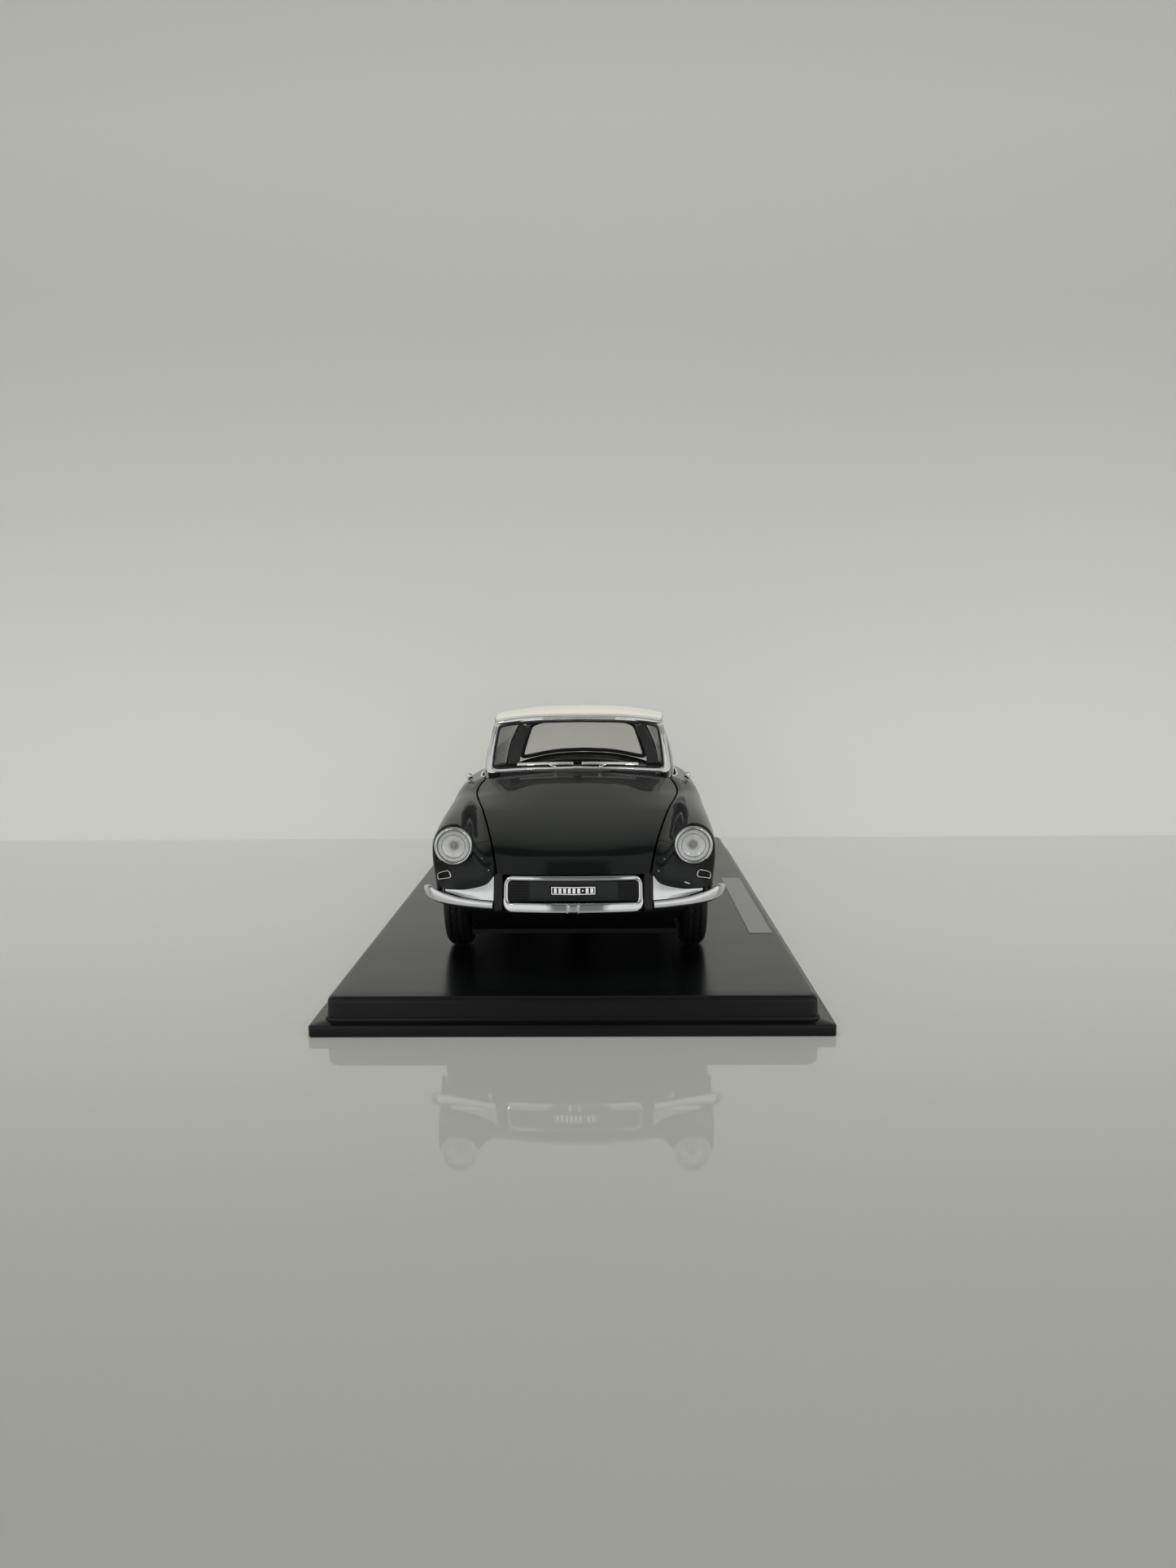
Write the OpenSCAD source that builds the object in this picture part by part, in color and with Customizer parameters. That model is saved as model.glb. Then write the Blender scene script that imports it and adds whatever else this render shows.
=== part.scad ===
/* [Plinth] */
// Width over the plinth's flange
plinth_w = 120.4; // [110:0.1:140]
// Length over the plinth's flange
plinth_l = 240; // [228:1:280]
// Height of the plinth's top face
plinth_h = 8.3; // [7.5:0.1:14]
// Height of the flange
flange_h = 2.7; // [2:0.1:4]
// Step from the flange's edge to the block
flange_lip = 3.25; // [2:0.05:6]
// Wall thickness of the plinth moulding
plinth_wall = 2.2; // [1.6:0.1:2.6]
// Distance from the plinth's front edge to the car's nose
nose_inset = 20.5; // [10:0.5:30]

/* [Running gear] */
// Front axle, behind the nose
front_axle_s = 34; // [33.5:0.1:34.5]
// Distance between the axles
wheelbase = 130.2; // [129.8:0.1:130.6]
// Outer radius of the tyres
tyre_r = 13.7; // [13:0.1:13.8]
// Height of the axles over the plinth's top face
axle_z = 13.85; // [13.85:0.05:14]
// Radius of the axles
axle_r = 0.9; // [0.7:0.05:1]
// Centre of a front tyre from the middle
front_wheel_x = 31; // [30.8:0.1:31]
// Width of a front tyre
front_tyre_w = 7.2; // [7:0.1:7.3]
// Centre of a rear tyre from the middle
rear_wheel_x = 26.2; // [26:0.1:26.3]
// Width of a rear tyre
rear_tyre_w = 5.6; // [5:0.1:5.8]

/* [Body] */
// Thickness of a body panel
skin = 1.1; // [0.9:0.05:1.2]
// Gap between fixed panels
seam = 0.12; // [0.1:0.01:0.2]
// Gap round the bonnet
bonnet_gap = 0.45; // [0.4:0.05:0.6]
// Gap at the front edge of a door
door_gap = 0.5; // [0.5:0.05:0.6]
// Thickness of the glazing
glass_t = 0.6; // [0.5:0.05:0.7]

/* [Hidden] */
$fn = 48;

// Body points are [x, s, z]: x from the middle, s behind the nose, z over the plinth's top face.
nose_y = nose_inset - plinth_l / 2;
rear_axle_s = front_axle_s + wheelbase;

// Wheel arches: half length, foot of the panel, rise
front_arch = [15, 10.6, 13.9];
front_lip_z = 15.8;  // the wing ends this high ahead of the front wheel
rear_arch = [14.2, 11.6, 6.6];

// Upper edge of the side panels, along the bonnet, the belt and the boot: s, x, z
rim = [
    [6, 19.3, 24.2], [14, 21.1, 30.4], [31, 24.8, 36.4], [44, 27.6, 38.5], [52, 28.7, 39.3],
    [58, 28.5, 40.4], [64, 27.4, 41.8], [68, 28.3, 41.7], [74, 29.6, 41.1], [85, 30.6, 40.7],
    [100, 31.0, 40.4], [120, 30.5, 39.8], [141, 28.6, 38.8], [150, 27.2, 38.1], [158, 25.5, 37.3],
    [165, 24.0, 36.3], [175, 22.2, 34.2], [185, 20.3, 30.9], [193, 18.5, 27.0], [199.2, 17.0, 22.8]
];
// Shoulder of the side panels: s, crest x, crest z, widest x, widest z, foot x
shoulder = [
    [6, 29.5, 35.9, 34.9, 30.2, 34.3], [9, 29.5, 36.2, 35.3, 29.8, 34.5],
    [16, 29.8, 37.2, 36.0, 28.4, 35.1], [24, 30.1, 38.0, 36.5, 27.2, 35.7],
    [38, 30.4, 38.8, 37.0, 26.2, 36.1], [52, 31.2, 39.3, 37.2, 25.6, 36.2],
    [64, 31.8, 40.4, 37.3, 25.3, 36.2], [85, 32.5, 40.4, 37.3, 25.0, 36.2],
    [100, 32.7, 40.1, 37.3, 25.0, 36.1], [120, 32.2, 39.4, 36.7, 24.6, 35.6],
    [141, 30.3, 38.4, 35.4, 24.0, 34.2], [158, 27.2, 36.9, 33.3, 22.8, 32.2],
    [172, 24.9, 34.6, 31.6, 21.6, 30.8], [185, 23.0, 30.9, 29.4, 20.2, 28.8],
    [193, 21.5, 27.2, 27.0, 19.0, 26.6], [199.2, 19.2, 23.0, 23.6, 18.0, 23.2]
];
// Gutter along the roof's edge: s, x, z
gutter = [
    [78, 25.2, 58.6], [90, 26.1, 58.9], [105, 26.4, 58.8], [120, 25.4, 57.7], [135, 23.2, 55.7],
    [148, 19.8, 53.0]
];
// Middle lines of the bonnet, the roof and the boot lid: s, z
bonnet_mid = [
    [4, 24.5], [6.5, 27.6], [10, 30.0], [16, 32.7], [25, 35.7], [37.5, 39.0], [48, 41.6], [58.6, 44.2]
];
roof_mid = [[76.8, 60.3], [85, 61.05], [97, 61.25], [110, 61], [125, 59.8], [140, 57.4], [150, 55.2]];
boot_mid = [[164, 41], [172, 39], [182, 35.2], [190, 31], [196, 26.6], [199.8, 23.2]];
// Front edge of the wing's nose along the bumper: v, x, s, z
nose_foot = [
    [0, 19.3, 6, 24.2], [0.5, 21.4, 5.7, 22], [1, 26.3, 6.8, 20.6], [1.5, 30.2, 8.2, 20.3],
    [2, 33.2, 10.2, 20.1], [2.5, 34.3, 11.4, 19.5], [3, 34.7, 12.3, 18.4]
];
// Pull of the wing's nose behind the lamp: v, x, s, z
nose_pull = [
    [0, 19.75, 8, 26.1], [0.5, 22.6, 9.6, 25], [1, 28.4, 12.4, 25.2], [1.5, 32.4, 11.8, 25],
    [2, 34.4, 11.4, 24.4], [2.5, 34.9, 12.2, 21.6], [3, 34.9, 13.3, 17.4]
];
// Where the nose meets the side panel, and how far it runs on: v, s, reach
nose_root = [
    [0, 12, 2], [0.5, 11, 2.8], [1, 10.2, 3.6], [1.5, 10.6, 3.4], [2, 11.8, 2.6], [2.5, 13.2, 1.4],
    [3, 14.6, 0.5]
];

lamp = [29.6, 7, 31.2];
lamp_r = 4.76;
post_s = [62, 140];
screw_r = 1;
door_s = [64.5, 104.6];
rear_door_s = [104.95, 141];
door_foot = 10.9;
hinge_x = 36.5;
hinge_s = door_s[0] + 0.4;
bonnet_hinge = [66.5, 42];
hinge_zs = [18.4, 29.2];
// Rows of points down a side panel, as values of v
side_rows = [for (i = [0:4]) i / 4, for (i = [1:5]) 1 + i / 5, for (i = [1:4]) 2 + i / 4];

// Smooth curve through the rows of a table, column c
function row_of(k, s, i = 0) = i < len(k) - 2 && s >= k[i + 1][0] ? row_of(k, s, i + 1) : i;
function rate(k, c, j) =
    let (a = max(j - 1, 0), b = min(j + 1, len(k) - 1))
    (k[b][c] - k[a][c]) / (k[b][0] - k[a][0]);
function curve(k, s, c) =
    let (i = row_of(k, s), h = k[i + 1][0] - k[i][0], t = (s - k[i][0]) / h)
    (2 * t^3 - 3 * t^2 + 1) * k[i][c] + (t^3 - 2 * t^2 + t) * h * rate(k, c, i)
    + (3 * t^2 - 2 * t^3) * k[i + 1][c] + (t^3 - t^2) * h * rate(k, c, i + 1);
function bezier(p, t) =
    (1 - t)^3 * p[0] + 3 * (1 - t)^2 * t * p[1] + 3 * (1 - t) * t^2 * p[2] + t^3 * p[3];
function steps(a, b, n) = [for (i = [0:n]) a + (b - a) * i / n];
function unit(v) = v / max(norm(v), 1e-9);

// Side panel: v runs 0 rim, 1 crest, 2 widest, 3 foot
function side(s, v, foot) =
    let (rx = curve(rim, s, 1), rz = curve(rim, s, 2), cx = curve(shoulder, s, 1),
         cz = curve(shoulder, s, 2), wx = curve(shoulder, s, 3), wz = max(curve(shoulder, s, 4), foot + 1.2),
         fx = curve(shoulder, s, 5),
         valley = [[rx, rz], [rx + (cx - rx) * 0.45, rz + (cz - rz) * 0.12], [cx - (cx - rx) * 0.3, cz],
                   [cx, cz]],
         flank = [[cx, cz], [cx + (wx - cx) * 0.62, cz], [wx, wz + (cz - wz) * 0.6], [wx, wz]],
         skirt = [[wx, wz], [wx, wz + (foot - wz) * 0.4], [fx + (wx - fx) * 0.3, foot + (wz - foot) * 0.3],
                  [fx, foot]],
         p = v <= 1 ? bezier(valley, v) : v <= 2 ? bezier(flank, v - 1) : bezier(skirt, v - 2))
    [p[0], s, p[1]];
function arch(s, middle, a) =
    abs(s - middle) < a[0] ? a[1] + a[2] * sqrt(1 - ((s - middle) / a[0])^2) : a[1];
arch_start = front_axle_s - front_arch[0];
function front_foot(s) =
    s < arch_start ? front_lip_z + 3 * max(0, (arch_start - s) / 7)
    : max(arch(s, front_axle_s, front_arch), s < front_axle_s ? front_lip_z : 0);
function rear_foot(s) = arch(s, rear_axle_s, rear_arch);

// Nose of a front wing: w runs from 0 at the side panel to 1 at the bumper
function nose(w, v) =
    let (s = curve(nose_root, v, 1), f = front_foot(max(s, 12)), p0 = side(s, v, f),
         d = (side(s + 0.5, v, f) - p0) / 0.5)
    bezier([p0, p0 - curve(nose_root, v, 2) * d,
            [for (c = [1:3]) curve(nose_pull, v, c)], [for (c = [1:3]) curve(nose_foot, v, c)]], w);

function bonnet_at(u, v) =
    let (se = 6 + v * 57.2, sc = 4 + v * 54.4, a = abs(u), x = curve(rim, se, 1) - bonnet_gap,
         ze = curve(rim, se, 2), zc = curve(bonnet_mid, sc, 1))
    [x * u, sc + (se - sc) * a^2.2, zc + (ze - zc) * a^2.4];
function roof_at(u, v) =
    let (se = 78.4 + v * 69.4, sc = 76.9 + v * 72.9, a = abs(u))
    [curve(gutter, se, 1) * u, sc + (se - sc) * a^2.2,
     curve(roof_mid, sc, 1) + (curve(gutter, se, 2) - curve(roof_mid, sc, 1)) * a^2.8];
function boot_at(u, v) =
    let (se = 158 + v * 40.8, sc = 164.2 + v * 35.4, a = abs(u))
    [(curve(rim, se, 1) - seam) * u, sc + (se - sc) * a^2.2,
     curve(boot_mid, sc, 1) + (curve(rim, se, 2) - curve(boot_mid, sc, 1)) * a^2.4];
// Windscreen and rear window: u across, v from the foot to the roof
function screen_at(u, v) =
    let (a = abs(u), low = [26.8 * u, 59.8 + 6.2 * a^2.4, 44.9 - 1.7 * a^2],
         top = [25.2 * u, 76.1 + 2.9 * a^2.2, 58.6 - 1.7 * a^2.4])
    low + (top - low) * v + [0, -0.9, 0.5] * sin(180 * v);
function rear_window_at(u, v) =
    let (a = abs(u), low = [24.1 * u, 163.6 - 6.2 * a^2.2, 41.3 - 3.1 * a^2.2],
         top = [19.1 * u, 150.4 - 2 * a^2.2, 54.8 - 2.4 * a^2.6])
    low + (top - low) * v + [0, 0.9, 0.7] * sin(180 * v);
// Side glazing and rear quarter: f runs from the belt to the gutter
function upright(low_s, top_s, f) =
    let (low = [curve(rim, low_s, 1) - 1.1, low_s, curve(rim, low_s, 2) + 0.1],
         top = [curve(gutter, top_s, 1) - 0.5, top_s, curve(gutter, top_s, 2) - 1.6])
    low + (top - low) * f + [0.9 * sin(180 * f), 0, 0];

// Grid of points moved in by t, or by t[i] for row i; side is 1 or -1 as the outer face needs
function moved_in(P, t, side) =
    let (n = len(P) - 1, m = len(P[0]) - 1)
    [for (i = [0:n]) [for (j = [0:m])
        let (di = P[min(i + 1, n)][j] - P[max(i - 1, 0)][j], dj = P[i][min(j + 1, m)] - P[i][max(j - 1, 0)])
        P[i][j] - side * (is_list(t) ? t[i] : t) * unit(cross(di, dj))]];

// Closed plate under a grid of points, t thick
module plate(P, t, side = 1) {
    n = len(P);
    m = len(P[0]);
    Q = moved_in(P, t, side);
    o = n * m;
    faces = [
        for (i = [0:n - 2]) for (j = [0:m - 2])
            let (a = i * m + j, b = a + m, c = b + 1, d = a + 1)
            each [[a, d, c], [a, c, b], [a + o, b + o, c + o], [a + o, c + o, d + o]],
        for (i = [0:n - 2])
            let (a = i * m, b = a + m, d = a + m - 1, c = b + m - 1)
            each [[a, b, b + o], [a, b + o, a + o], [c, d, d + o], [c, d + o, c + o]],
        for (j = [0:m - 2])
            let (a = j, d = j + 1, b = o - m + j, c = b + 1)
            each [[d, a, a + o], [d, a + o, d + o], [b, c, c + o], [b, c + o, b + o]]
    ];
    polyhedron(
        [for (r = P) each r, for (r = Q) each r],
        side > 0 ? faces : [for (f = faces) [f[2], f[1], f[0]]]
    );
}

// Closed tube through cross-sections of equal point count; looped joins the last to the first
module tube(rings, looped = false) {
    n = len(rings);
    m = len(rings[0]);
    last = looped ? n - 1 : n - 2;
    polyhedron(
        [for (r = rings) each r],
        [
            for (i = [0:last]) for (j = [0:m - 1])
                let (a = i * m + j, d = i * m + (j + 1) % m, b = ((i + 1) % n) * m + j,
                     c = ((i + 1) % n) * m + (j + 1) % m)
                each [[a, b, c], [a, c, d]],
            if (!looped) for (j = [1:m - 2])
                each [[0, j, j + 1], [(n - 1) * m, (n - 1) * m + j + 1, (n - 1) * m + j]]
        ]
    );
}

module car() translate([0, nose_y, plinth_h]) children();
module right() mirror([1, 0, 0]) children();
module pair() {
    children();
    right() children();
}
module across(x0, x1) translate([x0, 0, 0]) rotate([90, 0, 90]) linear_extrude(x1 - x0) children();
module rod_x(x0, x1, s, z, r) translate([x0, s, z]) rotate([0, 90, 0]) cylinder(r = r, h = x1 - x0);
module box(low, high) translate(low) cube(high - low);
module round_box(low, high, r) {
    a = low + [r, r, r];
    b = high - [r, r, r];
    hull() for (x = [a[0], b[0]], y = [a[1], b[1]], z = [a[2], b[2]])
        translate([x, y, z]) sphere(r, $fn = 16);
}

module slab_block(w, l, h, rc, re) {
    module edge_outline() {
        square([rc - re, h]);
        square([rc, h - re]);
        translate([rc - re, h - re]) circle(re);
    }
    module top_outline() intersection() { edge_outline(); square([rc, h]); }
    for (x = [-1, 1], y = [-1, 1])
        translate([x * (w / 2 - rc), y * (l / 2 - rc), 0]) rotate_extrude() top_outline();
    for (a = [0, 180]) rotate(a) {
        translate([w / 2 - rc, l / 2 - rc, 0]) rotate([90, 0, 0]) linear_extrude(l - 2 * rc) top_outline();
        translate([-w / 2 + rc, l / 2 - rc, 0]) rotate([90, 0, 90]) linear_extrude(w - 2 * rc) top_outline();
    }
    translate([-w / 2 + rc, -l / 2 + rc, 0]) cube([w - 2 * rc, l - 2 * rc, h]);
}

module plinth() {
    block_w = plinth_w - 2 * flange_lip;
    block_l = plinth_l - 2 * flange_lip;
    color("#17191a") difference() {
        union() {
            translate([-plinth_w / 2, -plinth_l / 2, 0]) cube([plinth_w, plinth_l, flange_h]);
            slab_block(block_w, block_l, plinth_h, 3, 1);
        }
        translate([-block_w / 2 + plinth_wall, -block_l / 2 + plinth_wall, -1])
            cube([block_w - 2 * plinth_wall, block_l - 2 * plinth_wall, plinth_h - plinth_wall + 1]);
        for (s = post_s) translate([0, nose_y + s, 0]) cylinder(r = screw_r + 0.3, h = plinth_h + 1);
    }
}

module plinth_label()
    color("#9a9b98") translate([48.2, -56, plinth_h]) cube([6.3, 80, 0.15]);

module plinth_screws()
    color("#8e9192") for (s = post_s) translate([0, nose_y + s, plinth_h - plinth_wall]) difference() {
        union() {
            translate([0, 0, -1.4]) cylinder(r = 2.3, h = 1.4);
            cylinder(r = screw_r, h = plinth_wall + 7);
        }
        translate([0, 0, -1.5]) for (a = [0, 90]) rotate(a) translate([-1.3, -0.25, 0]) cube([2.6, 0.5, 0.9]);
    }

module chassis() {
    color("#202224") car() difference() {
        union() {
            translate([0, 0, 7.4]) linear_extrude(1.2) polygon([
                [-26, 14], [26, 14], [26, 50.5], [33.2, 53], [33.2, 140], [29, 147], [22, 148.5], [22, 182],
                [24, 193], [-24, 193], [-22, 182], [-22, 148.5], [-29, 147], [-33.2, 140], [-33.2, 53],
                [-26, 50.5]
            ]);
            for (s = [front_axle_s, rear_axle_s]) for (x = [-19, 15])
                box([x, s - 2.6, 8.5], [x + 4, s + 2.6, axle_z + 2.2]);
            for (s = post_s) translate([0, s, 0]) cylinder(r = 3.4, h = 8);
        }
        for (s = [front_axle_s, rear_axle_s]) rod_x(-25, 25, s, axle_z, axle_r + 0.08);
        for (s = post_s) translate([0, s, -1]) cylinder(r = screw_r + 0.02, h = 8.3);
    }
}

module axle(reach, s) rod_x(-reach, reach, s, axle_z, axle_r);
module front_axle()
    color("#b4b6b8") car() axle(front_wheel_x + front_tyre_w / 2 - 2, front_axle_s);
module rear_axle()
    color("#b4b6b8") car() axle(rear_wheel_x + rear_tyre_w / 2 - 2, rear_axle_s);

// Wheel facing +X with its middle at the origin
module wheel(w) {
    half = w / 2 - 0.9;
    difference() {
        rotate([0, 90, 0]) rotate_extrude() polygon([
            [0, -half + 1.2], [2.2, -half + 1.2], [2.6, 0.2], [6.6, 0.2], [7.7, -half], [8.56, -half],
            [8.56, half], [7.9, half], [7.1, 1.2], [5.4, half - 0.4], [4.8, half + 0.2], [2.6, half + 0.7],
            [0, half + 0.8]
        ]);
        rotate([0, 90, 0]) translate([0, 0, -w]) cylinder(r = axle_r + 0.02, h = w + half - 1);
    }
}
module tyre(w)
    rotate([0, 90, 0]) rotate_extrude($fn = 72) difference() {
        translate([8.58, -w / 2]) square([tyre_r - 8.58, w]);
        for (y = [-1, 1]) translate([tyre_r, y * w / 2]) rotate(45) square([2.1, 2.1], center = true);
        for (y = [-1.6, 0, 1.6]) translate([tyre_r, y]) square([0.7, 0.4], center = true);
    }
module at_front() car() translate([front_wheel_x, front_axle_s, axle_z]) children();
module at_rear() car() translate([rear_wheel_x, rear_axle_s, axle_z]) children();
module front_wheel_left() color("#c4c5c4") at_front() wheel(front_tyre_w);
module front_wheel_right() color("#c4c5c4") right() at_front() wheel(front_tyre_w);
module rear_wheel_left() color("#c4c5c4") at_rear() wheel(rear_tyre_w);
module rear_wheel_right() color("#c4c5c4") right() at_rear() wheel(rear_tyre_w);
module front_tyre_left() color("#141414") at_front() tyre(front_tyre_w);
module front_tyre_right() color("#141414") right() at_front() tyre(front_tyre_w);
module rear_tyre_left() color("#141414") at_rear() tyre(rear_tyre_w);
module rear_tyre_right() color("#141414") right() at_rear() tyre(rear_tyre_w);

module bonnet()
    color("#1a201e") car()
        plate([for (v = steps(0, 1, 18)) [for (u = steps(-1, 1, 16)) bonnet_at(u, v)]], skin, -1);

module bonnet_hinge_arms()
    color("#1a201e") car() pair() difference() {
        across(23.1, 24.1) {
            hull() {
                translate(bonnet_hinge) circle(0.7);
                translate([60.5, 39.4]) circle(0.55);
            }
            hull() {
                translate([60.5, 39.4]) circle(0.55);
                translate([58.6, 40.5]) circle(0.5);
            }
        }
        rod_x(22, 27, bonnet_hinge[0], bonnet_hinge[1], 0.42);
    }
module bonnet_hinge_pins()
    color("#8e9192") car() pair() rod_x(22.1, 25.1, bonnet_hinge[0], bonnet_hinge[1], 0.35);

module bulkhead() color("#1b1d1e") car() {
    box([-30, 66, 8.7], [30, 67, 36]);
    pair() difference() {
        union() {
            for (x = [22.1, 24.3]) hull() {
                translate([x, bonnet_hinge[0], bonnet_hinge[1]]) rotate([0, 90, 0]) cylinder(r = 0.7, h = 0.8);
                box([x, 66, 34], [x + 0.8, 67, 36]);
            }
            box([30, 66, 17], [34.6, 67, 31]);
            for (z = hinge_zs) translate([0, 0, z]) linear_extrude(0.8) polygon([
                [33, 67], [33, 66], [hinge_x - 0.8, hinge_s - 0.4], [hinge_x, hinge_s - 0.6],
                [hinge_x + 0.3, hinge_s], [hinge_x, hinge_s + 0.5], [34.6, 67]
            ]);
        }
        rod_x(21, 27, bonnet_hinge[0], bonnet_hinge[1], 0.36);
        for (z = hinge_zs) translate([hinge_x, hinge_s, z - 1]) cylinder(r = 0.25, h = 3);
    }
}

// Front wing: the nose first, then the side over the wheel to the door
module front_wing() {
    columns = [
        for (w = [1, 0.84, 0.68, 0.52, 0.36, 0.2]) [for (v = side_rows) nose(w, v)],
        for (f = [0, 0.34, 0.68]) [for (v = side_rows)
            let (s0 = curve(nose_root, v, 1), s = s0 + (arch_start - s0) * f)
            side(s, v, front_foot(max(s, 12)))],
        for (a = [0:15:180]) let (s = front_axle_s - front_arch[0] * cos(a))
            [for (v = side_rows) side(s, v, front_foot(s))],
        for (s = steps(52, door_s[0] - door_gap, 4)) [for (v = side_rows) side(s, v, front_foot(s))]
    ];
    resize([0, 0, 0]) difference() {
        plate(columns, [for (i = [0:len(columns) - 1]) min(skin, 0.6 + 0.1 * max(0, i - 5))], -1);
        translate([lamp[0], 2, lamp[2]]) rotate([-90, 0, 0]) cylinder(r = lamp_r - 0.3, h = 12);
    }
}
module front_wing_left() color("#1a201e") car() front_wing();
module front_wing_right() color("#1a201e") car() right() front_wing();

module side_panel(s0, s1, n)
    plate([for (s = steps(s0, s1, n)) [for (v = side_rows) side(s, v, door_foot)]], skin, -1);
// Front door, with pockets at its front edge for the hinges
module door() car() resize([0, 0, 0]) difference() {
    side_panel(door_s[0], door_s[1], 12);
    for (z = hinge_zs) box([33, door_s[0] - 1, z - 0.2], [hinge_x + 0.45, door_s[0] + 2.2, z + 2.3]);
}
module door_left() color("#1a201e") door();
module door_right() color("#1a201e") right() door();
module rear_door_left() color("#1a201e") car() side_panel(rear_door_s[0], rear_door_s[1], 11);
module rear_door_right() color("#1a201e") car() right() side_panel(rear_door_s[0], rear_door_s[1], 11);

module rear_wing() plate([
    for (s = concat([141.12, 145, 148], [for (a = [0:15:180]) rear_axle_s - rear_arch[0] * cos(a)],
                    [181.5, 185, 188.5, 192, 195, 197.4, 199.2]))
        [for (v = side_rows) side(s, v, rear_foot(s))]
], skin, -1);
module rear_wing_left() color("#1a201e") car() rear_wing();
module rear_wing_right() color("#1a201e") car() right() rear_wing();

module sills()
    color("#1a201e") car() pair() box([33.6, 50.4, 7.6], [35.9, 149, 10.5]);

module door_hinge_lugs()
    color("#1a201e") car() for (z = hinge_zs) translate([hinge_x, hinge_s, z + 0.9]) difference() {
        union() {
            cylinder(r = 0.5, h = 1.1);
            translate([-0.4, 0, 0]) cube([0.5, 3.2, 1.1]);
        }
        translate([0, 0, -1]) cylinder(r = 0.3, h = 4);
    }
module door_hinge_lugs_left() door_hinge_lugs();
module door_hinge_lugs_right() right() door_hinge_lugs();
module door_hinge_pins()
    color("#8e9192") car() pair() for (z = hinge_zs)
        translate([hinge_x, hinge_s, z]) cylinder(r = 0.24, h = 1.95);

module glazing(low, top, n) plate([
    for (f = steps(0, 1, n)) [for (g = steps(1, 0, 6))
        upright(low[0] + (low[1] - low[0]) * f, top[0] + (top[1] - top[0]) * f, g)]
], glass_t, -1);
module door_glass() color("#9fb0ac", 0.4) car() glazing([70, 104.4], [81.2, 104.4], 9);
module door_glass_left() door_glass();
module door_glass_right() right() door_glass();
module rear_door_glass() color("#9fb0ac", 0.4) car() pair() glazing([105.2, 139.4], [105.2, 136.2], 9);
module rear_quarters() color("#6d7173") car() pair() plate([
    for (f = steps(0, 1, 6)) [for (g = steps(1, 0, 6)) upright(139.8 + 17.2 * f, 136.6 + 10.8 * f, g)]
], 1, -1);

module roof() color("#e4dfcd") car()
    plate([for (v = steps(0, 1, 20)) [for (u = steps(-1, 1, 16)) roof_at(u, v)]], skin, -1);
module boot_lid() color("#1a201e") car()
    plate([for (v = steps(0, 1, 13)) [for (u = steps(-1, 1, 14)) boot_at(u, v)]], skin, -1);
module windscreen() color("#9fb0ac", 0.4) car()
    plate([for (v = steps(0.07, 0.95, 8)) [for (u = steps(-0.95, 0.95, 18)) screen_at(u, v)]], glass_t, -1);
module rear_window() color("#9fb0ac", 0.4) car()
    plate([for (v = steps(0.98, 0.02, 8)) [for (u = steps(-1, 1, 16)) rear_window_at(u, v)]], glass_t, -1);

// Frame round the windscreen: pairs of outer and inner points along its edge
module windscreen_frame() {
    edge = [
        for (u = steps(-1, 1, 20)) [[u, 0], [u * 0.96, 0.06]],
        for (v = [0.15, 0.3, 0.45, 0.6, 0.75, 0.9]) [[1, v], [0.96, 0.06 + v * 0.9]],
        for (u = steps(1, -1, 20)) [[u, 1], [u * 0.96, 0.96]],
        for (v = [0.9, 0.75, 0.6, 0.45, 0.3, 0.15]) [[-1, v], [-0.96, 0.06 + v * 0.9]]
    ];
    color("#c9cbcc") car() tube([
        for (e = edge)
            let (o = screen_at(e[0][0], e[0][1]), i = screen_at(e[1][0], e[1][1]), n = [0, -0.5, 0.4])
            [o + n, o - 0.3 * n, i - 0.3 * n, i + n]
    ], true);
}

// Scuttle corners beside the windscreen's foot, slotted for the bonnet's hinge arms
module scuttle_corners() color("#1a201e") car() pair() resize([0, 0, 0]) difference() {
    plate([for (x = steps(14, 26.2, 6)) [for (f = [0, 0.5, 1])
        let (w = x / 26.9, front = [x, 58.6 + 4.6 * w^2.2 + bonnet_gap, 44.2 - 2.6 * w^2.4],
             back = screen_at(x / 26.8, 0) + [0, -0.75, -0.2])
        front + (back - front) * f]], 0.5, 1);
    box([22.8, 55, 38], [24.4, 70, 50]);
}

module tail_panel()
    color("#1a201e") car() translate([0, 199, 0]) rotate([90, 0, 0]) linear_extrude(skin) polygon([
        [-22.1, 11.8], [22.1, 11.8], [22.1, 17.5], [20.6, 19.8], [17.5, 21.4],
        [-17.5, 21.4], [-20.6, 19.8], [-22.1, 17.5]
    ]);

// Bar across the car, from s0 in the middle and bow further back at its ends; h high and d deep
module cross_bar(half, n, bow, s0, z0, h, d)
    tube([for (x = steps(-half, half, n))
        let (s = s0 + bow * abs(x / half)^2, low = z0 - h / 2, high = z0 + h / 2, corner = h * 0.25)
        [[x, s + d * 0.25, high], [x, s, high - corner], [x, s, low + corner], [x, s + d * 0.25, low],
         [x, s + d, low], [x, s + d, high]]]);
module grille_frame() color("#c9cbcc") car() resize([0, 0, 0]) {
    cross_bar(17.1, 12, 1.5, 0, 16.7, 2.6, 1.7);
    cross_bar(17.1, 12, 0.9, 2.9, 23.55, 1.3, 1.3);
    for (x = [-17.1, 16.1]) hull() {
        box([x, 2, 17.2], [x + 1, 3.1, 17.6]);
        box([x, 3.9, 23.2], [x + 1, 5, 23.8]);
    }
}
module grille_panel() color("#101112") car() {
    box([-16, 3.5, 18.15], [16, 4.5, 22.75]);
    for (x = [-15.6, 11.2], z = [18.7:0.75:22]) box([x, 3.15, z], [x + 4.4, 3.5, z + 0.4]);
}
module front_plate() color("#0c0c0d") car() translate([0, 3.4, 0]) rotate([90, 0, 0]) linear_extrude(0.5)
    polygon([[-5.8, 19.4], [5.8, 19.4], [5.8, 21.7], [0, 22.1], [-5.8, 21.7]]);

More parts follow.
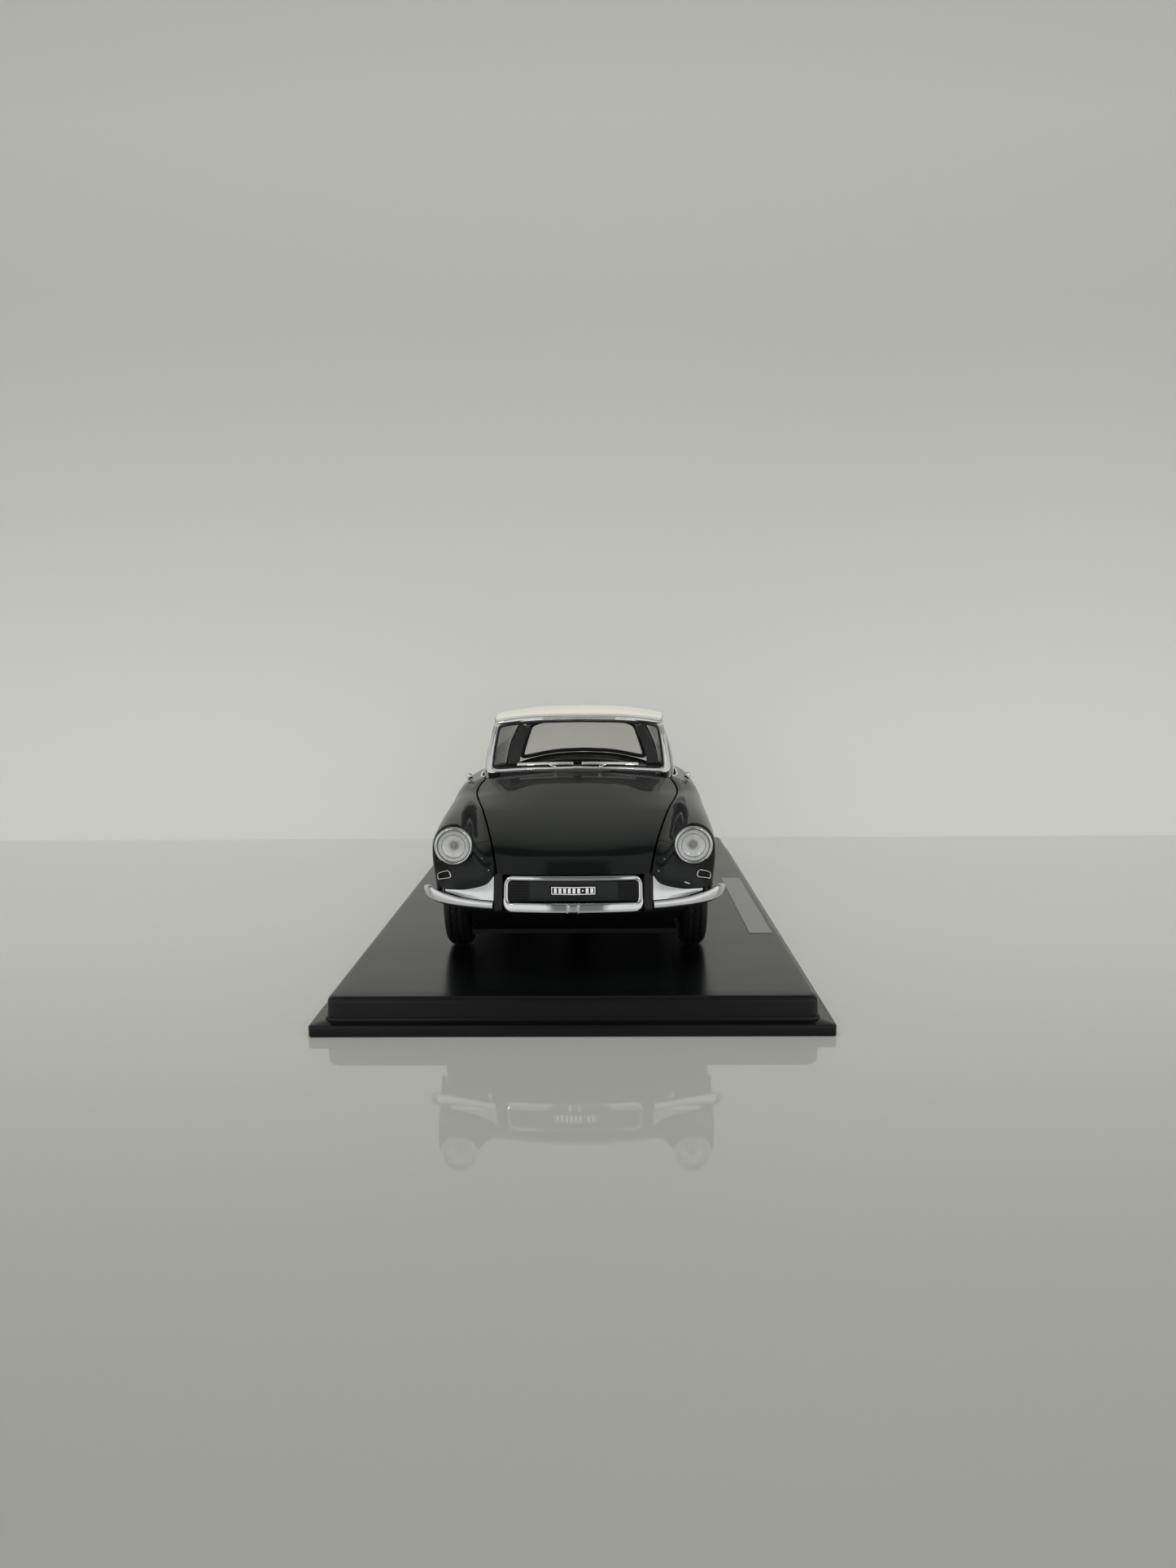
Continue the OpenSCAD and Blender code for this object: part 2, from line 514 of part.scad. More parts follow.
// Wrap-round bumper end: x, s, middle z, half height
bumper_line = [
    [19.5, 2.4, 17.1, 1.1], [24, 4.2, 17.1, 1.15], [29, 6.7, 17.3, 1.25], [33.5, 9.4, 18.0, 1.5],
    [36.6, 12.4, 19.0, 1.6], [38, 15.4, 19.7, 1.1]
];
function bumper_at(x) = [x, curve(bumper_line, x, 1), curve(bumper_line, x, 2)];
module bumper_ends() color("#c9cbcc") car() pair() {
    tube([for (x = steps(19.5, 38, 14))
        let (c = bumper_at(x), h = curve(bumper_line, x, 3),
             along = unit(bumper_at(x + 0.1) - bumper_at(x - 0.1)), o = unit([along[1], -along[0], 0]))
        [c + 0.2 * o + [0, 0, h], c + 0.7 * o + [0, 0, 0.35 * h], c + 0.7 * o - [0, 0, 0.45 * h],
         c + 0.1 * o - [0, 0, h], c - 0.4 * o - [0, 0, 0.8 * h], c - 0.4 * o + [0, 0, 0.8 * h]]]);
    plate([for (v = steps(0.02, 1.7, 9))
        let (top = [for (c = [1:3]) curve(nose_foot, v, c)] + [0.2, -0.7, -0.1], x = max(top[0], 19.5),
             low = bumper_at(x) + [0, 0.4, curve(bumper_line, x, 3) + 0.12])
        [[x, top[1], max(top[2], low[2] + 0.15)], low]], 0.4, -1);
}
module overriders() color("#111213") car() pair() round_box([17.3, 0.8, 15.9], [19.25, 3.3, 24.8], 0.6);
module front_valance() color("#111213") car() plate([
    for (u = steps(-1, 1, 16)) [for (f = steps(0, 1, 4))
        [u * (28.6 - 5.4 * f), 2.9 + 5.2 * abs(u)^2.2 + f^1.4 * (5.2 - 2.8 * u^2), 15.2 - 5.0 * f]]
], 0.9, -1);

module at_lamps() car() pair() translate(lamp) rotate([90, 0, 0]) children();
module headlamp_bezels() color("#c9cbcc") at_lamps() rotate_extrude() polygon([
    [4.02, -2.2], [4.4, -2.2], [4.4, -0.1], [lamp_r, 0], [lamp_r, 0.5], [4.5, 0.95], [4.2, 0.95], [4.02, 0.7]
]);
module headlamp_reflectors() color("#d5d6d6") at_lamps() rotate_extrude() polygon([
    [0, -4], [1.4, -4], [3.98, -0.8], [3.98, -0.1], [3.6, -0.1], [1.2, -3.2], [0.9, -3.2], [0.9, -1.4],
    [0.5, -0.9], [0, -0.9]
]);
module headlamp_lenses() color("#c3cdca", 0.5) at_lamps() rotate_extrude() polygon([
    [0, 0.85], [1.6, 0.78], [3, 0.55], [3.98, 0.2], [3.98, 0], [3, 0.25], [1.6, 0.45], [0, 0.5]
]);
module front_indicators() color("#c3cdca") car() pair() plate(
    moved_in([for (w = steps(0.85, 0.74, 3)) [for (v = steps(1.42, 2, 4)) nose(w, v)]], -0.6, -1), 0.45, -1);

module tail_lamps()
    color("#8a1512") car() pair() translate([19.2, 199.05, 18.4]) rotate([-90, 0, 0]) rotate_extrude()
        polygon([[0, 0], [1.7, 0], [1.7, 0.7], [1.2, 1.2], [0, 1.4]]);
// Rear bumper: its ends bend forward by 4.8
module rear_bumper() color("#c9cbcc") car() tube([for (x = steps(-27.4, 27.4, 28))
    let (a = abs(x) / 27.6, s = 201.6 - 4.8 * a^8, slope = sign(x) * 8 * 4.8 * a^7 / 27.6,
         o = unit([slope, 1, 0]), c = [x, s, 15.4])
    [c - 0.9 * o + [0, 0, -1], c - 0.3 * o + [0, 0, -1.2], c - [0, 0, 0.5], c + [0, 0, 0.5],
     c - 0.3 * o + [0, 0, 1.2], c - 0.9 * o + [0, 0, 1]]]);

module cabin_floor() color("#2a2624") car() box([-31, 67.3, 8.75], [31, 146, 9.6]);
module seat(low, high, back_s, back_z) {
    round_box(low, high, 1.2);
    hull() for (e = [[high[1] - 4, high[2] - 1], [back_s, back_z]])
        round_box([low[0], e[0], e[1] - 3], [high[0], e[0] + 3.4, e[1]], 1.2);
}
module front_seats() color("#3a2f2a") car() pair() seat([3, 84, 9.7], [24, 101, 19.5], 102, 37.5);
module rear_bench() color("#3a2f2a") car() resize([0, 0, 0]) {
    round_box([-26, 118, 9.7], [26, 132, 20], 1.2);
    hull() for (e = [[133, 20.5, 25], [141, 36, 24], [143, 42, 15]])
        round_box([-e[2], e[0], e[1] - 3], [e[2], e[0] + 3.4, e[1]], 1.2);
}
module dashboard() color("#1e1c1b") car() {
    across(-27, 27) polygon([[67.2, 32], [71.5, 32], [71.5, 38.6], [69.5, 41], [67.2, 41]]);
    across(-21, 21) polygon([[62.3, 41.6], [67.2, 40.6], [69.4, 41], [69.4, 41.4], [62.3, 42.4]]);
}
module steering_wheel() color("#15110f") car() translate([13, 78, 36.2]) rotate([62, 0, 0]) {
    rotate_extrude() translate([7.2, 0]) circle(0.38);
    rotate([0, 90, 0]) translate([0, 0, -7.1]) cylinder(r = 0.32, h = 14.2);
    cylinder(r = 1.4, h = 0.8);
    translate([0, 0, -6.4]) cylinder(r = 0.6, h = 6.6);
}
module engine() color("#34373a") car() {
    round_box([-11.5, 25, 17.2], [11.5, 55, 26], 1);
    for (x = [-7, 7]) translate([x, 28, 26.2]) rotate([-90, 0, 0]) cylinder(r = 2.2, h = 24);
    translate([0, 40, 26]) cylinder(r = 4.6, h = 6);
    translate([0, 40, 32]) cylinder(r = 1, h = 1.2);
}
module wipers() color("#c9cbcc") car() pair() tube([for (u = steps(0.09, 0.62, 8))
    let (c = screen_at(u, 0.15 + 0.05 * u) + [0, -0.45, 0.45])
    [c + [0, -0.2, 0.2], c + [0, -0.2, -0.2], c + [0, 0.2, -0.2], c + [0, 0.2, 0.2]]]);

plinth();
plinth_label();
plinth_screws();
chassis();
front_axle();
rear_axle();
front_wheel_left();
front_wheel_right();
rear_wheel_left();
rear_wheel_right();
front_tyre_left();
front_tyre_right();
rear_tyre_left();
rear_tyre_right();
bonnet();
bonnet_hinge_arms();
bonnet_hinge_pins();
bulkhead();
scuttle_corners();
front_wing_left();
front_wing_right();
sills();
door_left();
door_right();
door_glass_left();
door_glass_right();
door_hinge_lugs_left();
door_hinge_lugs_right();
door_hinge_pins();
rear_door_left();
rear_door_right();
rear_door_glass();
rear_wing_left();
rear_wing_right();
roof();
rear_quarters();
windscreen();
windscreen_frame();
rear_window();
boot_lid();
tail_panel();
grille_frame();
grille_panel();
front_plate();
bumper_ends();
overriders();
front_valance();
headlamp_bezels();
headlamp_reflectors();
headlamp_lenses();
front_indicators();
tail_lamps();
rear_bumper();
cabin_floor();
front_seats();
rear_bench();
dashboard();
steering_wheel();
engine();
wipers();
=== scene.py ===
import math

import bmesh
import bpy
import numpy as np
from mathutils import Matrix, Vector


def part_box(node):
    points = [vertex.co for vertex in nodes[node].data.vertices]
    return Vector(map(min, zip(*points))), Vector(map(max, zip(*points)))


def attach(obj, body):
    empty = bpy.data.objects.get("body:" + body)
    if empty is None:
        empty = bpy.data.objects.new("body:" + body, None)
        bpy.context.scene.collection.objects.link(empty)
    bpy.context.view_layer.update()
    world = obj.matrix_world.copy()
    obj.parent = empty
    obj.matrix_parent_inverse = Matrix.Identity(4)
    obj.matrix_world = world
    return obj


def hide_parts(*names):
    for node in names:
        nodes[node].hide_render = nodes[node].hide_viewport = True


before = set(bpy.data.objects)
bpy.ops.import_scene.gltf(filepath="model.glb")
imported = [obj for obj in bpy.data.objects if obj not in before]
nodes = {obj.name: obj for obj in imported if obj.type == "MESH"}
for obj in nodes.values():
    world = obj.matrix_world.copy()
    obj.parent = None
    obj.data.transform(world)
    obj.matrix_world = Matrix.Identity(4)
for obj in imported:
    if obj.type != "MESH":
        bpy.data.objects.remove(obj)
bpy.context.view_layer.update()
print("frame loaded:", len(nodes), "nodes")

# Body points are x from the middle, s behind the nose and z over the plinth's top face, in mm
plinthLow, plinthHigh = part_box("plinth")
noseInset = 20.5
noseY = plinthLow.y * 1000 + noseInset
topZ = plinthHigh.z * 1000
wheelAxis = {"front": (34.0, 13.85), "rear": (164.2, 13.85)}
root = "plinth_and_shell"


def bodyPoints(points):
    points = np.asarray(points, float)
    return (points + np.array([0, noseY, topZ])) * 0.001


def perMillimetre(spacing):
    return 1000 / spacing  # texture scale for a pattern with this spacing in mm


def hexColour(text):
    channels = [int(text[i:i + 2], 16) / 255 for i in (1, 3, 5)]
    return [c / 12.92 if c <= 0.04045 else ((c + 0.055) / 1.055) ** 2.4 for c in channels] + [1.0]


def addNode(tree, kind, inputs=None, **settings):
    node = tree.nodes.new("ShaderNode" + kind)
    for name, value in settings.items():
        setattr(node, name, value)
    for name, value in (inputs or {}).items():
        if isinstance(value, bpy.types.NodeSocket):
            tree.links.new(value, node.inputs[name])
        else:
            node.inputs[name].default_value = value
    return node


def newMaterial(name, **shaderValues):
    material = bpy.data.materials.new(name)
    material.use_nodes = True
    tree = material.node_tree
    tree.nodes.clear()
    shader = addNode(tree, "BsdfPrincipled", shaderValues.pop("inputs", None))
    addNode(tree, "OutputMaterial", {"Surface": shader.outputs[0]})
    place = addNode(tree, "TexCoord").outputs["Object"]
    return material, tree, shader, place


def twoTones(tree, factor, dark, light):
    mix = addNode(tree, "Mix", {0: factor, 6: hexColour(dark), 7: hexColour(light)}, data_type="RGBA")
    return mix.outputs[2]


def spread(tree, factor, low, high):
    # stretches a 0 to 1 pattern between two values
    return addNode(tree, "MapRange", {"Value": factor, "To Min": low, "To Max": high}).outputs[0]


def noise(tree, place, spacing, detail=2.0):
    pattern = {"Vector": place, "Scale": perMillimetre(spacing), "Detail": detail}
    return addNode(tree, "TexNoise", pattern).outputs[0]


def bumped(tree, height, strength, depth):
    # depth in mm
    relief = {"Height": height, "Strength": strength, "Distance": depth * 0.001}
    return addNode(tree, "Bump", relief).outputs[0]


def dress(tree, shader, pattern, look, normal):
    # both tones, and the sheen where it varies, follow one pattern
    tree.links.new(normal, shader.inputs["Normal"])
    tree.links.new(twoTones(tree, pattern, look["dark"], look["light"]), shader.inputs["Base Color"])
    if isinstance(look["roughness"], tuple):
        tree.links.new(spread(tree, pattern, *look["roughness"]), shader.inputs["Roughness"])


def mixShaders(tree, share, first, second):
    return addNode(tree, "MixShader", {0: share, 1: first, 2: second}).outputs[0]


def coverWith(tree, surface):
    output = next(n for n in tree.nodes if n.type == "OUTPUT_MATERIAL")
    tree.links.new(surface, output.inputs["Surface"])


enamel = {"underGloss": 0.08, "lacquer": 0.48}


def sprayedEnamel(name, look):
    # Gloss enamel sprayed on cast zinc: deep even colour under clear lacquer, with a faint orange peel
    material, tree, shader, place = newMaterial(name, inputs={
        "Roughness": look["roughness"], "Specular IOR Level": enamel["underGloss"],
        "Coat Weight": enamel["lacquer"], "Coat Roughness": look["coatRoughness"]})
    peel = bumped(tree, noise(tree, place, look["peelMm"], 1.0), look["peel"], 0.02)
    dress(tree, shader, noise(tree, place, look["cloudMm"], 3.0), look, peel)
    tree.links.new(peel, shader.inputs["Coat Normal"])
    return material


def platedChrome(name, look):
    # Vacuum-plated plastic: near-mirror metal with slight ripples and a breath of haze
    material, tree, shader, place = newMaterial(name, inputs={"Metallic": look.get("metallic", 1.0)})
    ripple = bumped(tree, noise(tree, place, look["rippleMm"]), look["ripple"], 0.03)
    dress(tree, shader, noise(tree, place, look["hazeMm"], 4.0), look, ripple)
    return material


def clearStyrene(name, look):
    # Clear moulded polystyrene: see-through with a faint tint, and a hard gloss that grows at the edges
    material, tree, shader, place = newMaterial(name, inputs={
        "Roughness": look["roughness"], "IOR": 1.59, "Base Color": hexColour(look["face"])})
    tint = twoTones(tree, noise(tree, place, look["swirlMm"]), look["tintDark"], look["tintLight"])
    through = addNode(tree, "BsdfTransparent", {"Color": tint}).outputs[0]
    edge = addNode(tree, "LayerWeight", {"Blend": 0.5}).outputs["Facing"]
    steep = addNode(tree, "Math", {0: edge, 1: look["steepness"]}, operation="POWER").outputs[0]
    share = spread(tree, steep, look["cover"], 1.0)
    coverWith(tree, mixShaders(tree, share, through, shader.outputs[0]))
    return material


def mouldedPlastic(name, look):
    # Injection-moulded styrene or ABS: fine mould grain, slightly uneven sheen, faint flow marks
    material, tree, shader, place = newMaterial(name, inputs={"IOR": look.get("ior", 1.5)})
    grain = bumped(tree, noise(tree, place, look["grainMm"], 3.0), look["grain"], 0.03)
    dress(tree, shader, noise(tree, place, look["flowMm"], 5.0), look, grain)
    return material


def brushedFoil(name, look):
    # Printed metal foil: silver with fine brushed lines along its length
    material, tree, shader, place = newMaterial(name, inputs={"Metallic": 0.75})
    squeeze = addNode(tree, "Mapping", {"Vector": place, "Scale": (1.0, 0.02, 1.0)}).outputs[0]
    lines = noise(tree, squeeze, look["lineMm"])
    dress(tree, shader, lines, look, bumped(tree, lines, look["line"], 0.02))
    return material


def grainedVinyl(name, look):
    # Moulded seat trim: leather-like grain in cells, duller along the creases, where painted shade also
    # darkens the colour
    material, tree, shader, place = newMaterial(name, inputs={"Sheen Weight": 0.15, "Sheen Roughness": 0.5})
    cells = addNode(tree, "TexVoronoi", {"Vector": place, "Scale": perMillimetre(look["cellMm"])}).outputs[0]
    # painted shade: the creases get the darker tone, the cell middles the lighter one
    tones = dict(look, dark=look["middles"], light=look["creases"])
    dress(tree, shader, cells, tones, bumped(tree, cells, look["grain"], 0.05))
    return material


finishes = {
    "greenEnamel": sprayedEnamel("greenEnamel", {
        "dark": "#040807", "light": "#080d0c", "roughness": 0.35, "coatRoughness": 0.035,
        "cloudMm": 14, "peelMm": 1.1, "peel": 0.05}),
    "ivoryEnamel": sprayedEnamel("ivoryEnamel", {
        "dark": "#cecbbe", "light": "#d5d2c6", "roughness": 0.3, "coatRoughness": 0.05,
        "cloudMm": 20, "peelMm": 1.1, "peel": 0.05}),
    "greyEnamel": sprayedEnamel("greyEnamel", {
        "dark": "#92979a", "light": "#9ca0a3", "roughness": 0.4, "coatRoughness": 0.08,
        "cloudMm": 14, "peelMm": 1.1, "peel": 0.05}),
    "chrome": platedChrome("chromePlate", {
        "dark": "#cfd1d0", "light": "#e3e4e4", "roughness": (0.03, 0.09), "hazeMm": 6, "rippleMm": 1.4,
        "ripple": 0.2}),
    "foilChrome": platedChrome("chromeFoil", {
        "dark": "#eeefee", "light": "#fafafa", "roughness": (0.04, 0.12), "hazeMm": 3, "rippleMm": 1.1,
        "ripple": 1.0, "metallic": 0.85}),
    "steel": platedChrome("zincSteel", {
        "dark": "#8c8f91", "light": "#a7a9ab", "roughness": (0.25, 0.4), "hazeMm": 2, "rippleMm": 0.6,
        "ripple": 0.3}),
    "reflector": platedChrome("reflectorPlate", {
        "dark": "#eceded", "light": "#f8f9f8", "roughness": (0.1, 0.2), "hazeMm": 2, "rippleMm": 0.8,
        "ripple": 0.3, "metallic": 0.25}),
    "wheelPaint": mouldedPlastic("silverWheelPaint", {
        "dark": "#a9abab", "light": "#bcbebe", "roughness": (0.3, 0.42), "grainMm": 0.25, "grain": 0.15,
        "flowMm": 4}),
    "glazing": clearStyrene("clearGlazing", {
        "face": "#1c1f1f", "tintDark": "#f7f6f5", "tintLight": "#fcfbfa", "roughness": 0.02, "cover": 0.05,
        "swirlMm": 18, "steepness": 4.0}),
    "lens": clearStyrene("clearLens", {
        "face": "#f0f1f0", "tintDark": "#fcfcfb", "tintLight": "#fefefe", "roughness": 0.05, "cover": 0.1,
        "swirlMm": 3, "steepness": 1.5}),
    "redLens": mouldedPlastic("redLens", {
        "dark": "#5e0a08", "light": "#8f1510", "roughness": (0.08, 0.16), "grainMm": 0.5, "grain": 0.1,
        "flowMm": 2}),
    "plinthAbs": mouldedPlastic("blackPlinthAbs", {
        "dark": "#040606", "light": "#080a0a", "roughness": (0.17, 0.3), "grainMm": 0.3, "grain": 0.12,
        "flowMm": 26, "ior": 1.36}),
    "blackPlastic": mouldedPlastic("blackPlastic", {
        "dark": "#050606", "light": "#0a0b0b", "ior": 1.36, "roughness": (0.32, 0.48), "grainMm": 0.25,
        "grain": 0.2, "flowMm": 6}),
    "grillePlastic": mouldedPlastic("grillePlastic", {
        "dark": "#171a1b", "light": "#202425", "roughness": (0.4, 0.55), "grainMm": 0.2, "grain": 0.2,
        "flowMm": 5}),
    "rubber": mouldedPlastic("blackRubber", {
        "dark": "#070808", "light": "#0e0f0f", "roughness": (0.5, 0.68), "grainMm": 0.18, "grain": 0.3,
        "flowMm": 3}),
    "tyreRubber": mouldedPlastic("tyreRubber", {
        "dark": "#0a0a0a", "light": "#121212", "roughness": (0.55, 0.75), "grainMm": 0.2, "grain": 0.35,
        "flowMm": 3}),
    "engineGrey": mouldedPlastic("engineGrey", {
        "dark": "#2c2f31", "light": "#3d4144", "roughness": (0.4, 0.6), "grainMm": 0.3, "grain": 0.3,
        "flowMm": 4}),
    "dashPlastic": mouldedPlastic("dashPlastic", {
        "dark": "#161514", "light": "#201e1c", "roughness": (0.45, 0.6), "grainMm": 0.3, "grain": 0.25,
        "flowMm": 6}),
    "plateWhite": mouldedPlastic("plateWhite", {
        "dark": "#e4e5e3", "light": "#efefed", "roughness": (0.4, 0.5), "grainMm": 0.3, "grain": 0.1,
        "flowMm": 2}),
    "brownVinyl": grainedVinyl("brownVinyl", {
        "middles": "#3c2d24", "creases": "#241a14", "roughness": (0.42, 0.62), "cellMm": 0.5, "grain": 0.35}),
    "foil": brushedFoil("labelFoil", {"dark": "#8b8c89", "light": "#a0a19e", "roughness": (0.32, 0.5),
                                      "lineMm": 0.4, "line": 0.3}),
}
print("finishes made:", len(finishes))

# Upper edge of the side panels, along the bonnet, the belt and the boot: s, x, z
rim = np.array([
    [6, 19.3, 24.2], [14, 21.1, 30.4], [31, 24.8, 36.4], [44, 27.6, 38.5], [52, 28.7, 39.3],
    [58, 28.5, 40.4], [64, 27.4, 41.8], [68, 28.3, 41.7], [74, 29.6, 41.1], [85, 30.6, 40.7],
    [100, 31.0, 40.4], [120, 30.5, 39.8], [141, 28.6, 38.8], [150, 27.2, 38.1], [158, 25.5, 37.3],
    [165, 24.0, 36.3], [175, 22.2, 34.2], [185, 20.3, 30.9], [193, 18.5, 27.0], [199.2, 17.0, 22.8]])
# Shoulder of the side panels: s, crest x, crest z, widest x, widest z, foot x
shoulder = np.array([
    [6, 29.5, 35.9, 34.9, 30.2, 34.3], [9, 29.5, 36.2, 35.3, 29.8, 34.5], [16, 29.8, 37.2, 36.0, 28.4, 35.1],
    [24, 30.1, 38.0, 36.5, 27.2, 35.7], [38, 30.4, 38.8, 37.0, 26.2, 36.1],
    [52, 31.2, 39.3, 37.2, 25.6, 36.2], [64, 31.8, 40.4, 37.3, 25.3, 36.2],
    [85, 32.5, 40.4, 37.3, 25.0, 36.2], [100, 32.7, 40.1, 37.3, 25.0, 36.1],
    [120, 32.2, 39.4, 36.7, 24.6, 35.6], [141, 30.3, 38.4, 35.4, 24.0, 34.2],
    [158, 27.2, 36.9, 33.3, 22.8, 32.2], [172, 24.9, 34.6, 31.6, 21.6, 30.8],
    [185, 23.0, 30.9, 29.4, 20.2, 28.8], [193, 21.5, 27.2, 27.0, 19.0, 26.6],
    [199.2, 19.2, 23.0, 23.6, 18.0, 23.2]])
# Gutter along the roof's edge: s, x, z
gutter = np.array([
    [78, 25.2, 58.6], [90, 26.1, 58.9], [105, 26.4, 58.8], [120, 25.4, 57.7], [135, 23.2, 55.7],
    [148, 19.8, 53.0]])
# Middle lines of the bonnet, the roof and the boot lid: s, z
bonnetMiddle = np.array([
    [4, 24.5], [6.5, 27.6], [10, 30.0], [16, 32.7], [25, 35.9], [37.5, 39.4], [48, 42.0], [58.6, 44.15]])
roofMiddle = np.array([
    [76.8, 60.3], [85, 61.05], [97, 61.25], [110, 61], [125, 59.8], [140, 57.4], [150, 55.2]])
bootMiddle = np.array([[164, 41], [172, 39], [182, 35.2], [190, 31], [196, 26.6], [199.8, 23.2]])
# Front edge of the wing's nose along the bumper, and the pull of the nose behind the lamp: v, x, s, z
noseFoot = np.array([
    [0, 19.3, 6, 24.2], [0.5, 21.4, 5.7, 22], [1, 26.3, 6.8, 20.6], [1.5, 30.2, 8.2, 20.3],
    [2, 33.2, 10.2, 20.1], [2.5, 34.3, 11.4, 19.5], [3, 34.7, 12.3, 18.4]])
nosePull = np.array([
    [0, 19.75, 8, 26.1], [0.5, 22.6, 9.6, 25], [1, 28.4, 12.4, 25.2], [1.5, 32.4, 11.8, 25],
    [2, 34.4, 11.4, 24.4], [2.5, 34.9, 12.2, 21.6], [3, 34.9, 13.3, 17.4]])
# Where the nose meets the side panel, and how far it runs on: v, s, reach
noseRoot = np.array([
    [0, 12, 2], [0.5, 11, 2.8], [1, 10.2, 3.6], [1.5, 10.6, 3.4], [2, 11.8, 2.6], [2.5, 13.2, 1.4],
    [3, 14.6, 0.5]])
# Wrap-round bumper end: x, s, middle z, half height
bumperLine = np.array([
    [19.5, 2.4, 17.1, 1.1], [24, 4.2, 17.1, 1.15], [29, 6.7, 17.3, 1.25], [33.5, 9.4, 18.0, 1.5],
    [36.6, 12.4, 19.0, 1.6], [38, 15.4, 19.7, 1.1]])


def curve(table, s, column):
    # smooth curve through a table's rows
    knots, values = table[:, 0], table[:, column]
    slopes = np.concatenate([
        [(values[1] - values[0]) / (knots[1] - knots[0])],
        (values[2:] - values[:-2]) / (knots[2:] - knots[:-2]),
        [(values[-1] - values[-2]) / (knots[-1] - knots[-2])]])
    s = np.asarray(s, float)
    i = np.clip(np.searchsorted(knots, s, side="right") - 1, 0, len(knots) - 2)
    h = knots[i + 1] - knots[i]
    t = (s - knots[i]) / h
    return ((2 * t**3 - 3 * t**2 + 1) * values[i] + (t**3 - 2 * t**2 + t) * h * slopes[i]
            + (3 * t**2 - 2 * t**3) * values[i + 1] + (t**3 - t**2) * h * slopes[i + 1])


def bezier(points, t):
    return ((1 - t)**3 * points[0] + 3 * (1 - t)**2 * t * points[1]
            + 3 * (1 - t) * t**2 * points[2] + t**3 * points[3])


def arch(s, middle, half, low, rise):
    inside = np.clip(1 - ((s - middle) / half)**2, 0, 1)
    return low + rise * np.sqrt(inside)


# Lower edges of the side panels: the arches over the wheels, the lip ahead of the front one, the sill line
frontArch = {"middle": 34, "half": 15, "low": 10.6, "rise": 13.9}
rearArch = {"middle": 164.2, "half": 14.2, "low": 11.6, "rise": 6.6}
frontLip = {"z": 15.8, "end": 19, "rise": 3, "run": 7}
sillLine = 10.9


def frontFoot(s):
    behind = np.maximum(arch(s, **frontArch), np.where(s < frontArch["middle"], frontLip["z"], 0))
    ahead = frontLip["z"] + frontLip["rise"] * np.clip((frontLip["end"] - s) / frontLip["run"], 0, None)
    return np.where(s < frontLip["end"], ahead, behind)


def rearFoot(s):
    return arch(s, **rearArch)


def doorFoot(s):
    return np.full_like(s, sillLine)


def side(s, v, foot):
    # Side panel's section: v runs 0 rim, 1 crest, 2 widest, 3 foot
    s, v, foot = np.broadcast_arrays(np.asarray(s, float), np.asarray(v, float), np.asarray(foot, float))
    rx, rz = curve(rim, s, 1), curve(rim, s, 2)
    cx, cz, wx = curve(shoulder, s, 1), curve(shoulder, s, 2), curve(shoulder, s, 3)
    wz, fx = np.maximum(curve(shoulder, s, 4), foot + 1.2), curve(shoulder, s, 5)
    top = [bezier([rx, rx + (cx - rx) * 0.45, cx - (cx - rx) * 0.3, cx], v),
           bezier([rz, rz + (cz - rz) * 0.12, cz, cz], v)]
    middle = [bezier([cx, cx + (wx - cx) * 0.62, wx, wx], v - 1),
              bezier([cz, cz, wz + (cz - wz) * 0.6, wz], v - 1)]
    lower = [bezier([wx, wx, fx + (wx - fx) * 0.3, fx], v - 2),
             bezier([wz, wz + (foot - wz) * 0.4, foot + (wz - foot) * 0.3, foot], v - 2)]
    x, z = [np.where(v <= 1, top[c], np.where(v <= 2, middle[c], lower[c])) for c in (0, 1)]
    return np.stack([x, s, z], -1)


def nose(w, v):
    # Nose of a front wing: w runs from 0 at the side panel to 1 at the bumper
    w, v = np.broadcast_arrays(np.asarray(w, float), np.asarray(v, float))
    s = curve(noseRoot, v, 1)
    foot = frontFoot(np.maximum(s, 12))
    start = side(s, v, foot)
    slope = (side(s + 0.5, v, foot) - start) / 0.5
    pull = np.stack([curve(nosePull, v, c) for c in (1, 2, 3)], -1)
    end = np.stack([curve(noseFoot, v, c) for c in (1, 2, 3)], -1)
    return bezier([start, start - curve(noseRoot, v, 2)[..., None] * slope, pull, end], w[..., None])


# Crowned panels: start and length of the edge's and the middle's run, gap at the edge, power of the bow
crowns = {
    "bonnet": {"edge": rim, "gap": 0.45, "edgeRun": (6, 57.2), "middle": bonnetMiddle, "middleRun": (4, 54.4),
               "bow": 2.4},
    "roof": {"edge": gutter, "gap": 0, "edgeRun": (78.4, 69.4), "middle": roofMiddle,
             "middleRun": (76.9, 72.9), "bow": 2.8},
    "boot": {"edge": rim, "gap": 0.12, "edgeRun": (158, 40.8), "middle": bootMiddle,
             "middleRun": (164.2, 35.4), "bow": 2.4},
}


def crowned(u, v, look):
    se, sc = [look[run][0] + look[run][1] * v for run in ("edgeRun", "middleRun")]
    ze, zc, a = curve(look["edge"], se, 2), curve(look["middle"], sc, 1), np.abs(u)
    x = (curve(look["edge"], se, 1) - look["gap"]) * u
    return np.stack([x, sc + (se - sc) * a**2.2, zc + (ze - zc) * a**look["bow"]], -1)


def bonnetAt(u, v):
    return crowned(u, v, crowns["bonnet"])


def roofAt(u, v):
    return crowned(u, v, crowns["roof"])


def bootAt(u, v):
    return crowned(u, v, crowns["boot"])


def between(low, top, v, bow):
    bulge = np.sin(np.pi * v)
    return low + (top - low) * v[..., None] + bulge[..., None] * np.array(bow)


